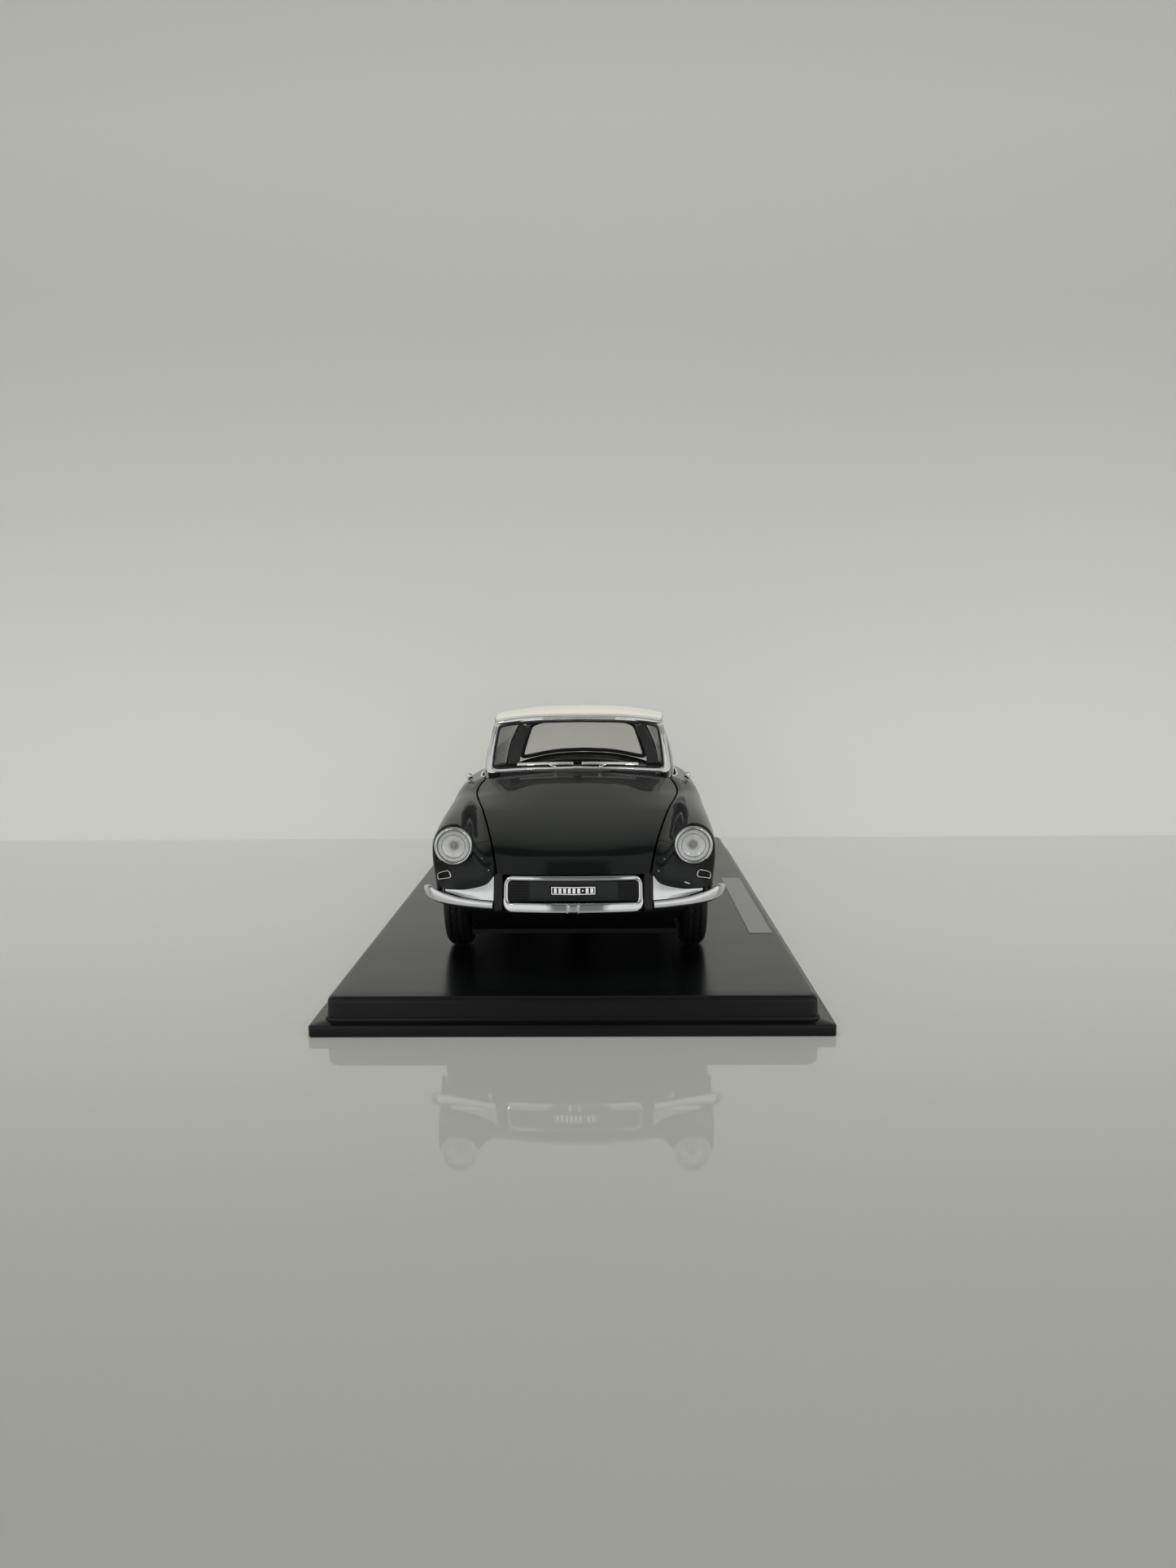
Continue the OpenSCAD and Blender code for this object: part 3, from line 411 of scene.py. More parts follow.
def screenAt(u, v):
    # Windscreen: u across, v from its foot to the roof
    u, v = np.broadcast_arrays(np.asarray(u, float), np.asarray(v, float))
    a = np.abs(u)
    low = np.stack([26.8 * u, 59.8 + 6.2 * a**2.4, 44.9 - 1.7 * a**2], -1)
    top = np.stack([25.2 * u, 76.1 + 2.9 * a**2.2, 58.6 - 1.7 * a**2.4], -1)
    return between(low, top, v, [0, -0.9, 0.5])


def rearWindowAt(u, v):
    u, v = np.broadcast_arrays(np.asarray(u, float), np.asarray(v, float))
    a = np.abs(u)
    low = np.stack([24.1 * u, 163.6 - 6.2 * a**2.2, 41.3 - 3.1 * a**2.2], -1)
    top = np.stack([19.1 * u, 150.4 - 2 * a**2.2, 54.8 - 2.4 * a**2.6], -1)
    return between(low, top, v, [0, 0.9, 0.7])


def upright(lowS, topS, f):
    # Side glazing and rear quarter: f runs from the belt to the gutter
    lowS, topS, f = np.broadcast_arrays(np.asarray(lowS, float), np.asarray(topS, float),
                                        np.asarray(f, float))
    low = np.stack([curve(rim, lowS, 1) - 1.1, lowS, curve(rim, lowS, 2) + 0.1], -1)
    top = np.stack([curve(gutter, topS, 1) - 0.5, topS, curve(gutter, topS, 2) - 1.6], -1)
    return between(low, top, f, [0.9, 0, 0])


def gridOf(across, along, surface):
    # surface(row value, column value) on a grid of rows and columns
    rows, columns = np.meshgrid(across, along, indexing="ij")
    return surface(rows, columns)


def plateMesh(grid, thickness, facing, keep=None):
    # Outer sheet, inner sheet moved in along the normals, and a wall wherever the sheet ends
    rows, columns = grid.shape[:2]
    normals = np.cross(np.gradient(grid, axis=0), np.gradient(grid, axis=1)) * facing
    normals /= np.maximum(np.linalg.norm(normals, axis=-1, keepdims=True), 1e-9)
    thickness = np.asarray(thickness, float)
    inner = grid - normals * (thickness[:, None, None] if thickness.ndim else thickness)
    shift, quads, edges = rows * columns, [], set()
    for i in range(rows - 1):
        for j in range(columns - 1):
            if keep is None or keep[i, j]:
                a = i * columns + j
                quad = (a, a + columns, a + columns + 1, a + 1)
                quads.append(quad)
                edges.update(zip(quad, quad[1:] + quad[:1]))
    walls = [(q, p, p + shift, q + shift) for p, q in sorted(edges) if (q, p) not in edges]
    faces = quads + [tuple(k + shift for k in reversed(quad)) for quad in quads] + walls
    return np.concatenate([grid.reshape(-1, 3), inner.reshape(-1, 3)]), faces


def tubeMesh(rings, looped=False):
    count, around = rings.shape[:2]
    faces = []
    for i in range(count if looped else count - 1):
        a, b = i * around, (i + 1) % count * around
        faces += [(a + j, b + j, b + (j + 1) % around, a + (j + 1) % around) for j in range(around)]
    if not looped:
        faces += [tuple(range(around)), tuple(range((count - 1) * around, count * around))]
    return rings.reshape(-1, 3), faces


def ringsAlong(path, wide, deep, around=20, power=2.4, looped=False, rounded=True):
    # Rounded cross-sections along a path; wide and deep are half sizes as vectors, one for each point
    path, wide, deep = [np.broadcast_to(a, np.shape(path)).astype(float) for a in (path, wide, deep)]
    if rounded and not looped:
        startStep, endStep = path[0] - path[1], path[-1] - path[-2]
        depth = np.linalg.norm(deep[0])
        ends = [(0.97, 0.12), (0.85, 0.32), (0.6, 0.48), (0.25, 0.58)]
        startStep, endStep = [v / np.linalg.norm(v) * depth for v in (startStep, endStep)]
        path = np.concatenate([[path[0] + startStep * d for k, d in reversed(ends)], path,
                               [path[-1] + endStep * d for k, d in ends]])
        wide = np.concatenate([[wide[0] * k for k, d in reversed(ends)], wide,
                               [wide[-1] * k for k, d in ends]])
        deep = np.concatenate([[deep[0] * k for k, d in reversed(ends)], deep,
                               [deep[-1] * k for k, d in ends]])
    angles = np.arange(around) / around * 2 * np.pi
    c, s = np.cos(angles), np.sin(angles)
    c, s = np.sign(c) * np.abs(c)**(2 / power), np.sign(s) * np.abs(s)**(2 / power)
    return path[:, None] + c[None, :, None] * wide[:, None] + s[None, :, None] * deep[:, None]


def latheMesh(profile, segments, centre, axis):
    # Profile of radius and distance along the axis, turned round it; a closed profile makes a solid ring
    angles = np.arange(segments) / segments * 2 * np.pi
    profile = np.asarray(profile, float)
    radius, along = profile[:, 0][None, :, None], profile[:, 1][None, :, None]
    axis = np.array(axis, float)
    first = np.array([0, 0, 1.0])
    second = np.cross(axis, first)
    spokes = np.cos(angles)[:, None] * first + np.sin(angles)[:, None] * second
    return tubeMesh(np.array(centre) + radius * spokes[:, None, :] + along * axis, looped=True)


def roundEdges(piece, width, angle):
    edge = piece.modifiers.new("roundedEdges", "BEVEL")
    edge.width, edge.segments, edge.limit_method = width * 0.001, 3, "ANGLE"
    edge.angle_limit, edge.harden_normals = math.radians(angle), True


def addPiece(name, shape, finish, body, slotName, replaces=(), bevel=0.0, mirror=False, sharp=42):
    vertices, faces = shape
    points = np.array(vertices, float)
    if mirror:
        points[:, 0] *= -1
    mesh = bpy.data.meshes.new(name)
    mesh.from_pydata(bodyPoints(points).tolist(), [], faces)
    work = bmesh.new()
    work.from_mesh(mesh)
    bmesh.ops.remove_doubles(work, verts=work.verts, dist=2e-7)
    loose = [v for v in work.verts if not v.link_faces]
    bmesh.ops.delete(work, geom=loose, context="VERTS")
    bmesh.ops.recalc_face_normals(work, faces=work.faces)
    for face in work.faces:
        face.smooth = True
    work.to_mesh(mesh)
    work.free()
    mesh.set_sharp_from_angle(angle=math.radians(sharp))
    mesh.materials.append(finishes[finish])
    piece = bpy.data.objects.new(name, mesh)
    bpy.context.scene.collection.objects.link(piece)
    if bevel:
        roundEdges(piece, bevel, sharp)
    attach(piece, body)
    if replaces:
        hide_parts(*replaces)
    return piece


def addPair(name, shape, finish, slotName, bodies=(root, root), replaces=((), ()), **options):
    # Left piece and its mirror image
    for word, mirror, body, stands in zip(("Left", "Right"), (False, True), bodies, replaces):
        addPiece(name + word, shape, finish, body, slotName, stands, mirror=mirror, **options)


def joined(*shapes):
    vertices, faces, shift = [], [], 0
    for points, polygons in shapes:
        vertices.append(np.asarray(points))
        faces += [tuple(k + shift for k in polygon) for polygon in polygons]
        shift += len(points)
    return np.concatenate(vertices), faces


def mirrorBoth(shape):
    return joined(shape, (shape[0] * [-1, 1, 1], shape[1]))


def ramp(start, end, count):
    return np.linspace(start, end, count)


# Body panels: cast zinc, one closed plate each
panels = {"skin": 1.1, "edge": 0.16, "doorGap": 0.5}
lampAxis = {"x": 29.6, "s": 7.0, "z": 31.2, "radius": 4.76, "holeEnd": 18}
doors = {"front": (64.5, 104.6), "rear": (104.95, 141.0)}


def wingSheet():
    # Columns run from the bumper round the nose, over the wheel and back to the door
    v = np.concatenate([ramp(0, 1, 33), ramp(1, 2, 33)[1:], ramp(2, 3, 29)[1:]])
    columns = [nose(np.full_like(v, w), v) for w in ramp(1, 0, 42)]
    start = curve(noseRoot, v, 1)
    for f in ramp(0, 1, 12)[1:]:
        s = start + (frontLip["end"] - start) * f
        columns.append(side(s, v, frontFoot(np.maximum(s, 12))))
    for angle in ramp(0, math.pi, 61)[1:]:
        s = np.full_like(v, frontArch["middle"] - frontArch["half"] * math.cos(angle))
        columns.append(side(s, v, frontFoot(s)))
    for s in ramp(frontArch["middle"] + frontArch["half"], doors["front"][0] - panels["doorGap"], 25)[1:]:
        columns.append(side(np.full_like(v, s), v, frontFoot(np.full_like(v, s))))
    return np.array(columns)


def lampHole(grid, radius):
    # Cells clear of the lamp, with the points round the hole drawn onto its circle
    dx, dz = grid[..., 0] - lampAxis["x"], grid[..., 2] - lampAxis["z"]
    distance = np.hypot(dx, dz)
    inHole = (distance < radius) & (grid[..., 1] < lampAxis["holeEnd"])
    keep = ~(inHole[:-1, :-1] | inHole[1:, :-1] | inHole[:-1, 1:] | inHole[1:, 1:])
    onEdge = np.zeros_like(inHole)
    for where in (np.s_[:-1, :-1], np.s_[1:, :-1], np.s_[:-1, 1:], np.s_[1:, 1:]):
        touching = np.zeros_like(inHole)
        touching[where] = ~keep
        onEdge |= touching
    onEdge &= ~inHole
    scale = np.where(onEdge, radius / np.maximum(distance, 1e-6), 1)
    grid[..., 0] = lampAxis["x"] + dx * scale
    grid[..., 2] = lampAxis["z"] + dz * scale
    return keep


wing = wingSheet()
keepWing = lampHole(wing, lampAxis["radius"] - 0.35)
wingThickness = np.clip(0.6 + 0.03 * (np.arange(len(wing)) - 30), 0.6, panels["skin"])
addPair("frontWing", plateMesh(wing, wingThickness, -1, keepWing), "greenEnamel", "paint_dark_green",
        replaces=(["front_wing_left"], ["front_wing_right"]), bevel=panels["edge"])

bonnetSheet = gridOf(ramp(0, 1, 90), ramp(-1, 1, 91), lambda v, u: bonnetAt(u, v))
addPiece("bonnetPanel", plateMesh(bonnetSheet, panels["skin"], -1), "greenEnamel", "bonnet_body",
         "paint_dark_green", ["bonnet"], bevel=panels["edge"])

panelRows = np.concatenate([ramp(0, 1, 22), ramp(1, 2, 26)[1:], ramp(2, 3, 18)[1:]])


def sideSheet(stations, foot):
    return gridOf(stations, panelRows, lambda s, v: side(s, v, foot(s)))


addPair("frontDoor", plateMesh(sideSheet(ramp(*doors["front"], 64), doorFoot), panels["skin"], -1),
        "greenEnamel", "paint_dark_green", ("left_door_body", "right_door_body"),
        (["door_left"], ["door_right"]), bevel=panels["edge"])
addPair("rearDoor", plateMesh(sideSheet(ramp(*doors["rear"], 56), doorFoot), panels["skin"], -1),
        "greenEnamel", "paint_dark_green", replaces=(["rear_door_left"], ["rear_door_right"]),
        bevel=panels["edge"])
rearRun = {"front": 141.3, "archStart": 150, "archEnd": 178.4, "end": 199.2}
overArch = rearArch["middle"] - rearArch["half"] * np.cos(ramp(0, math.pi, 49))
rearStations = np.concatenate([ramp(rearRun["front"], rearRun["archStart"], 12)[:-1], overArch,
                               ramp(rearRun["archEnd"], rearRun["end"], 34)[1:]])
addPair("rearWing", plateMesh(sideSheet(rearStations, rearFoot), panels["skin"], -1), "greenEnamel",
        "paint_dark_green", replaces=(["rear_wing_left"], ["rear_wing_right"]), bevel=panels["edge"])
roofSheet = gridOf(ramp(0, 1, 90), ramp(-1, 1, 81), lambda v, u: roofAt(u, v))
addPiece("roofPanel", plateMesh(roofSheet, panels["skin"], -1), "ivoryEnamel", root, "paint_ivory", ["roof"],
         bevel=0.25)
liningSheet = gridOf(ramp(0.03, 0.97, 40), ramp(-0.93, 0.93, 41), lambda v, u: roofAt(u, v) - [0, 0, 1.3])
addPiece("roofLining", plateMesh(liningSheet, 0.5, -1), "grillePlastic", root, "rubber_black")
bootSheet = gridOf(ramp(0, 1, 60), ramp(-1, 1, 71), lambda v, u: bootAt(u, v))
addPiece("bootPanel", plateMesh(bootSheet, panels["skin"], -1), "greenEnamel", root, "paint_dark_green",
         ["boot_lid"], bevel=panels["edge"])
quarterRun = {"low": (139.8, 17.2), "top": (136.6, 10.8)}
quarterSheet = gridOf(ramp(0, 1, 30), ramp(1, 0, 26), lambda f, g: upright(
    quarterRun["low"][0] + quarterRun["low"][1] * f, quarterRun["top"][0] + quarterRun["top"][1] * f, g))
addPiece("rearQuarters", mirrorBoth(plateMesh(quarterSheet, 1.0, -1)), "greyEnamel", root, "quarter_grey",
         ["rear_quarters"], bevel=0.15)
print("body panels done")

# Glazing
glazing = {"thickness": 0.6}
screenSheet = gridOf(ramp(0.07, 0.95, 40), ramp(-0.95, 0.95, 81), lambda v, u: screenAt(u, v))
addPiece("windscreenPane", plateMesh(screenSheet, glazing["thickness"], -1), "glazing", root, "clear_glazing",
         ["windscreen"], bevel=0.08)
rearSheet = gridOf(ramp(0.98, 0.02, 40), ramp(-1, 1, 71), lambda v, u: rearWindowAt(u, v))
addPiece("rearWindowPane", plateMesh(rearSheet, glazing["thickness"], -1), "glazing", root, "clear_glazing",
         ["rear_window"], bevel=0.08)


def sideGlass(low, top):
    sheet = gridOf(ramp(0, 1, 36), ramp(1, 0, 26),
                   lambda f, g: upright(low[0] + (low[1] - low[0]) * f, top[0] + (top[1] - top[0]) * f, g))
    return plateMesh(sheet, glazing["thickness"], -1)


addPair("doorGlass", sideGlass((70, 104.4), (81.2, 104.4)), "glazing", "clear_glazing",
        ("left_door_body", "right_door_body"), (["door_glass_left"], ["door_glass_right"]), bevel=0.08)
rearGlass = sideGlass((105.2, 139.4), (105.2, 136.2))
addPiece("rearDoorGlasses", mirrorBoth(rearGlass), "glazing", root, "clear_glazing", ["rear_door_glass"],
         bevel=0.08)
print("glazing done")


def evenly(points, count, closed=False):
    # the same line with points at even distances
    points = np.asarray(points, float)
    if closed:
        points = np.concatenate([points, points[:1]])
    lengths = np.concatenate([[0], np.cumsum(np.linalg.norm(np.diff(points, axis=0), axis=1))])
    wanted = np.linspace(0, lengths[-1], count + 1 if closed else count)
    line = np.stack([np.interp(wanted, lengths, points[:, c]) for c in range(3)], -1)
    return line[:-1] if closed else line


def directions(path, closed=False):
    if closed:
        steps = np.roll(path, -1, axis=0) - np.roll(path, 1, axis=0)
    else:
        steps = np.gradient(path, axis=0)
    return steps / np.linalg.norm(steps, axis=1, keepdims=True)


def unitRows(vectors):
    return vectors / np.maximum(np.linalg.norm(vectors, axis=-1, keepdims=True), 1e-9)


def surfaceNormals(surface, u, v, facing):
    step = 0.004
    du = surface(u + step, v) - surface(u - step, v)
    dv = surface(u, v + step) - surface(u, v - step)
    return unitRows(np.cross(du, dv)) * facing


def surroundRings(surface, look, count=280):
    # Rounded strip lying on a surface along a rounded rectangle of its u and v
    turn = ramp(0, 2 * math.pi, 4001)[:-1]
    power = 2 / look["squareness"]
    u = look["middle"][0] + look["half"][0] * np.sign(np.cos(turn)) * np.abs(np.cos(turn))**power
    v = look["middle"][1] + look["half"][1] * np.sign(np.sin(turn)) * np.abs(np.sin(turn))**power
    normals = surfaceNormals(surface, u, v, look["facing"])
    path = evenly(surface(u, v) + look["lift"] * normals, count, closed=True)
    lifted = evenly(surface(u, v) + (look["lift"] + 1) * normals, count, closed=True)
    normals = unitRows(lifted - path)
    wide = unitRows(np.cross(directions(path, True), normals)) * look["halfWidth"]
    heights = (path[:, 2:] - path[:, 2:].min()) / np.ptp(path[:, 2])
    sideways = np.clip(np.abs(path[:, :1]) / np.abs(path[:, 0]).max() - 0.9, 0, 0.1) * 10
    wide *= 1 + look.get("footSpread", 0) * (1 - heights) * sideways
    return ringsAlong(path, wide, normals * look["halfDepth"], around=12, power=2.6, looped=True)


# Chrome and rubber round the windscreen, and the bar along the roof's front edge
screenTrim = {
    "chrome": {"middle": (0, 0.5), "half": (0.985, 0.49), "squareness": 16, "facing": 1, "lift": 0.15,
               "halfWidth": 0.58, "halfDepth": 0.45, "footSpread": 0.9},
    "seal": {"middle": (0, 0.5), "half": (0.948, 0.437), "squareness": 16, "facing": 1, "lift": 0.0,
             "halfWidth": 0.3, "halfDepth": 0.25},
    "roofBar": {"halfHeight": 0.75, "halfDepth": 0.6, "down": -1.55, "forward": -0.45},
}
addPiece("windscreenSurround", tubeMesh(surroundRings(screenAt, screenTrim["chrome"]), True), "foilChrome",
         root, "chrome", ["windscreen_frame"])
addPiece("windscreenSeal", tubeMesh(surroundRings(screenAt, screenTrim["seal"]), True), "rubber", root,
         "rubber_black")
barLook = screenTrim["roofBar"]
barU = ramp(-1.0, 1.0, 120)
barPath = roofAt(barU, np.zeros_like(barU)) + [0, barLook["forward"], barLook["down"]]
barOut = unitRows(np.cross(directions(barPath), [0, 0, 1.0]))
barTaper = (1 - 0.55 * np.abs(barU)**10)[:, None]
addPiece("roofFrontBar",
         tubeMesh(ringsAlong(barPath, np.array([0, 0, 1.0]) * barLook["halfHeight"] * barTaper,
                             barOut * barLook["halfDepth"])), "chrome", root, "chrome")
beadTrim = dict(screenTrim["chrome"], half=(1.005, 0.5), lift=0.6, halfWidth=0.27, halfDepth=0.27,
                footSpread=0.2)
addPiece("windscreenBead", tubeMesh(surroundRings(screenAt, beadTrim), True), "foilChrome", root, "chrome")
rearTrim = {"middle": (0, 0.5), "half": (0.97, 0.465), "squareness": 12, "facing": -1, "lift": 0.1,
            "halfWidth": 0.85, "halfDepth": 0.35}
addPiece("rearWindowSeal", tubeMesh(surroundRings(rearWindowAt, rearTrim), True), "engineGrey", root,
         "rubber_black")
rearTrim.update(lift=0.4, halfWidth=0.26, halfDepth=0.2)
addPiece("rearWindowBead", tubeMesh(surroundRings(rearWindowAt, rearTrim), True), "chrome", root, "chrome")

# Wipers: a blade with its rubber, and an arm down to a pivot cap
wiperLook = {"from": 0.05, "to": 0.66, "foot": 0.07, "climb": 0.03, "off": (0, -0.5, 0.5), "blade": 0.5,
             "arm": 0.3}


def wiperShapes():
    u = ramp(wiperLook["from"], wiperLook["to"], 40)
    path = screenAt(u, wiperLook["foot"] + wiperLook["climb"] * u) + np.array(wiperLook["off"])
    normals = surfaceNormals(screenAt, u, np.full_like(u, wiperLook["foot"]), 1)
    wide = unitRows(np.cross(directions(path), normals))
    blade = tubeMesh(ringsAlong(path, wide * wiperLook["blade"], normals * 0.2, around=10))
    rubberStrip = tubeMesh(ringsAlong(path - normals * 0.3, wide * 0.12, normals * 0.2, around=8,
                                      rounded=False))
    pivot = screenAt(0.24, 0.0) + np.array([0, -0.6, 0.4])
    hook = path[18] + normals[18] * 0.28
    knee = pivot + (hook - pivot) * 0.45 + np.array([0, -0.25, 0.3])
    t = ramp(0, 1, 16)[:, None]
    armPath = (1 - t)**2 * pivot + 2 * (1 - t) * t * knee + t**2 * hook
    arm = tubeMesh(ringsAlong(armPath, wide[18] * wiperLook["arm"], normals[18] * 0.14, around=10))
    cap = latheMesh([[0, 0.55], [0.35, 0.5], [0.55, 0.3], [0.6, 0], [0.6, -0.7], [0, -0.7]], 24, pivot,
                    (0, -0.5, 0.86))
    return joined(blade, arm, cap), rubberStrip


wiperMetal, wiperRubber = wiperShapes()
addPiece("wiperArms", mirrorBoth(wiperMetal), "foilChrome", root, "chrome",
         ["wipers"])
addPiece("wiperRubbers", mirrorBoth(wiperRubber), "rubber", root,
         "rubber_black")

# Grille surround: one chrome band, broad along the bottom, with rounded inner corners
grilleLook = {"halfWidth": 16.55, "low": 16.75, "high": 23.6, "corner": 1.7, "lowFront": 0.75,
              "highFront": 3.4, "lowBow": 1.5, "highBow": 0.9}


def grilleRings():
    x0, z0, z1, r = grilleLook["halfWidth"], grilleLook["low"], grilleLook["high"], grilleLook["corner"]
    corners = [(x0 - r, z1 - r, 0), (-x0 + r, z1 - r, 90), (-x0 + r, z0 + r, 180), (x0 - r, z0 + r, 270)]
    outline = np.array([(cx + r * math.cos(math.radians(start + a)), 0,
                         cz + r * math.sin(math.radians(start + a)))
                        for cx, cz, start in corners for a in range(0, 91, 6)])
    path = evenly(outline, 320, closed=True)
    rise = (path[:, 2] - z0) / (z1 - z0)
    across = np.abs(path[:, 0] / x0)**2
    lowS = grilleLook["lowFront"] + grilleLook["lowBow"] * across
    highS = grilleLook["highFront"] + grilleLook["highBow"] * across
    path[:, 1] = lowS + (highS - lowS) * rise
    along = directions(path, True)
    front = unitRows(np.cross(along, np.cross([0, -1.0, 0.15], along)))
    wide = unitRows(np.cross(along, front))
    width = 0.62 + 0.66 * np.clip(1 - rise * 3.2, 0, 1)**0.7
    width = np.where(np.abs(path[:, 0]) > x0 - 0.2, np.minimum(width, 0.62), width)
    width = np.convolve(np.concatenate([width[-6:], width, width[:6]]), np.ones(13) / 13, "valid")
    return ringsAlong(path, wide * width[:, None], front * 0.75, around=20, power=3.2, looped=True)


addPiece("grilleSurround", tubeMesh(grilleRings(), True), "chrome", root, "chrome", ["grille_frame"])


def slab(low, high, radius, detail=9, dents=None):
    # Rounded block on an even grid; dents(point, face axis, way) moves its faces in
    low, high = np.array(low, float), np.array(high, float)
    middle, halfSize = (low + high) / 2, (high - low) / 2
    steps = ramp(-1, 1, detail)
    vertices, faces = [], []
    for axis in range(3):
        for way in (-1, 1):
            a, b = np.meshgrid(steps, steps, indexing="ij")
            flat = np.zeros(a.shape + (3,))
            flat[..., axis], flat[..., (axis + 1) % 3], flat[..., (axis + 2) % 3] = way, a, b
            # the outer rows crowd into the rounded edge
            flat = np.sign(flat) * np.minimum(np.abs(flat)**0.8, 1) if detail > 9 else flat
            point = flat * halfSize
            core = np.clip(point, -(halfSize - radius), halfSize - radius)
            out = unitRows(point - core)
            if dents is not None:
                inward = dents(flat, axis, way)[..., None]
                point = core + out * (radius - inward)
            else:
                point = core + out * radius
            start = sum(len(v) for v in vertices)
            vertices.append((middle + point).reshape(-1, 3))
            n = len(steps)
            faces += [(start + i * n + j, start + (i + 1) * n + j, start + (i + 1) * n + j + 1,
                       start + i * n + j + 1)
                      for i in range(n - 1) for j in range(n - 1)]
    return np.concatenate(vertices), faces


# Grille insert: black panel with louvres at its ends
insert = slab((-16.2, 3.6, 17.9), (16.2, 4.5, 22.9), 0.15)
louvres = []
for k in range(6):
    z = 18.55 + 0.75 * k
    louvres.append(mirrorBoth(slab((10.9, 3.1, z), (15.7, 3.75, z + 0.42), 0.15)))
addPiece("grilleInsert", insert, "grillePlastic", root, "grille_black", ["grille_panel"])
addPiece("grilleLouvres", joined(*louvres), "rubber", root, "grille_black")

# Number plate bent at its middle, with a white border and plain blocks for its characters
plateLook = {"half": 5.6, "low": 19.5, "high": 21.85, "front": 2.55, "bend": 0.1, "border": 0.2,
             "inset": 0.22, "markFront": -0.05, "markDepth": 0.12, "blockInset": 0.55, "blockWidth": 0.7,
             "blocks": (-4.75, -3.6, -2.45, -1.3, -0.15, 1.0, 3.05, 4.2), "dash": (2.15, 2.55),
             "dashInset": 1.0}


def bent(points):
    points = np.array(points, float)
    points[:, 1] += plateLook["front"] + plateLook["bend"] * np.abs(points[:, 0])
    return points


def plateStrip(x0, x1, z0, z1, front, depth):
    vertices, faces = slab((x0, front, z0), (x1, front + depth, z1), 0.06, detail=15)
    return bent(vertices), faces


def plateMarks():
    half, low, high, border = [plateLook[k] for k in ("half", "low", "high", "border")]
    inset, front, depth = plateLook["inset"], plateLook["markFront"], plateLook["markDepth"]
    blockInset, dashInset = plateLook["blockInset"], plateLook["dashInset"]
    boxes = [(-half + inset, half - inset, z, z + border) for z in (low + inset, high - inset - border)]
    boxes += [(x, x + border, low + inset, high - inset) for x in (-half + inset, half - inset - border)]
    boxes += [(x, x + plateLook["blockWidth"], low + blockInset, high - blockInset)
              for x in plateLook["blocks"]]
    boxes.append((*plateLook["dash"], low + dashInset, high - dashInset))
    return joined(*[plateStrip(*box, front, depth) for box in boxes])


blank = plateStrip(-plateLook["half"], plateLook["half"], plateLook["low"], plateLook["high"], 0, 0.5)
addPiece("frontPlateBlank", blank, "blackPlastic", root, "grille_black", ["front_plate"])
addPiece("frontPlateMarks", plateMarks(), "plateWhite", root, "label_silver")

# Clamp in the middle of the lower bar
clamp = [slab((-1.55, -0.25, 15.7), (-1.2, 0.9, 17.9), 0.12),
         slab((1.2, -0.25, 15.7), (1.55, 0.9, 17.9), 0.12), slab((-1.3, -0.1, 15.9), (1.3, 0.6, 17.7), 0.2)]
addPiece("bumperClamp", joined(*clamp), "chrome", root, "chrome")

# Wrap-round bumper ends: a crowned blade, and the plate between it and the wing
bladeX = ramp(19.5, 37.6, 90)


def bumperAt(x):
    return np.stack([x, curve(bumperLine, x, 1), curve(bumperLine, x, 2)], -1)


bladePath = bumperAt(bladeX)
bladeAlong = unitRows(bumperAt(bladeX + 0.1) - bumperAt(bladeX - 0.1))
bladeOut = unitRows(np.stack([bladeAlong[:, 1], -bladeAlong[:, 0], np.zeros(len(bladeX))], -1))
bladeUp = np.cross(bladeAlong, bladeOut)
bladeUp *= np.sign(bladeUp[:, 2:3])
tip = np.clip((bladeX - 36.2) / 1.6, 0, 1)[:, None]
bladeHalf = curve(bumperLine, bladeX, 3)[:, None] * np.sqrt(np.clip(1 - tip**2, 0.08, 1))
blade = tubeMesh(ringsAlong(bladePath + bladeOut * 0.15, bladeUp * bladeHalf, bladeOut * 0.6, around=24,
                            power=2.3, rounded=False))
footV = ramp(0.02, 1.75, 60)
footTop = np.stack([curve(noseFoot, footV, c) for c in (1, 2, 3)], -1) + [0.2, -0.7, -0.1]
footTop[:, 0] = np.maximum(footTop[:, 0], 19.5)
footLow = bumperAt(footTop[:, 0]) + np.array([0, 0.4, 0.12])
footLow[:, 2] += curve(bumperLine, footTop[:, 0], 3)
footTop[:, 2] = np.maximum(footTop[:, 2], footLow[:, 2] + 0.15)
rows = ramp(0, 1, 9)[None, :, None]
cornerBow = np.array([0, -0.25, 0])
cornerGrid = footTop[:, None] + (footLow - footTop)[:, None] * rows + cornerBow * np.sin(np.pi * rows)
addPiece("bumperEnds", mirrorBoth(joined(blade, plateMesh(cornerGrid, 0.4, -1))), "chrome", root, "chrome",
         ["bumper_ends"])
overrider = slab((17.3, 0.75, 15.9), (19.3, 3.4, 24.8), 0.75, detail=17)
overrider[0][:, 1] += 0.16 * (overrider[0][:, 2] - 15.9) * (overrider[0][:, 2] > 15.9)
addPiece("overriderRubbers", mirrorBoth(overrider), "rubber", root, "rubber_black", ["overriders"])
# the lower apron is black plastic, and its black also stands in as painted shade for the shadow under the
# bumper
valanceSheet = gridOf(ramp(-1, 1, 60), ramp(0, 1, 16), lambda u, f: np.stack([
    u * (28.6 - 5.4 * f), 2.9 + 5.2 * np.abs(u)**2.2 + f**1.4 * (5.2 - 2.8 * u**2), 15.2 - 5.0 * f], -1))
addPiece("frontValancePanel", plateMesh(valanceSheet, 0.9, -1), "blackPlastic", root, "chassis_black",
         ["front_valance"], bevel=0.15)
print("front end done")

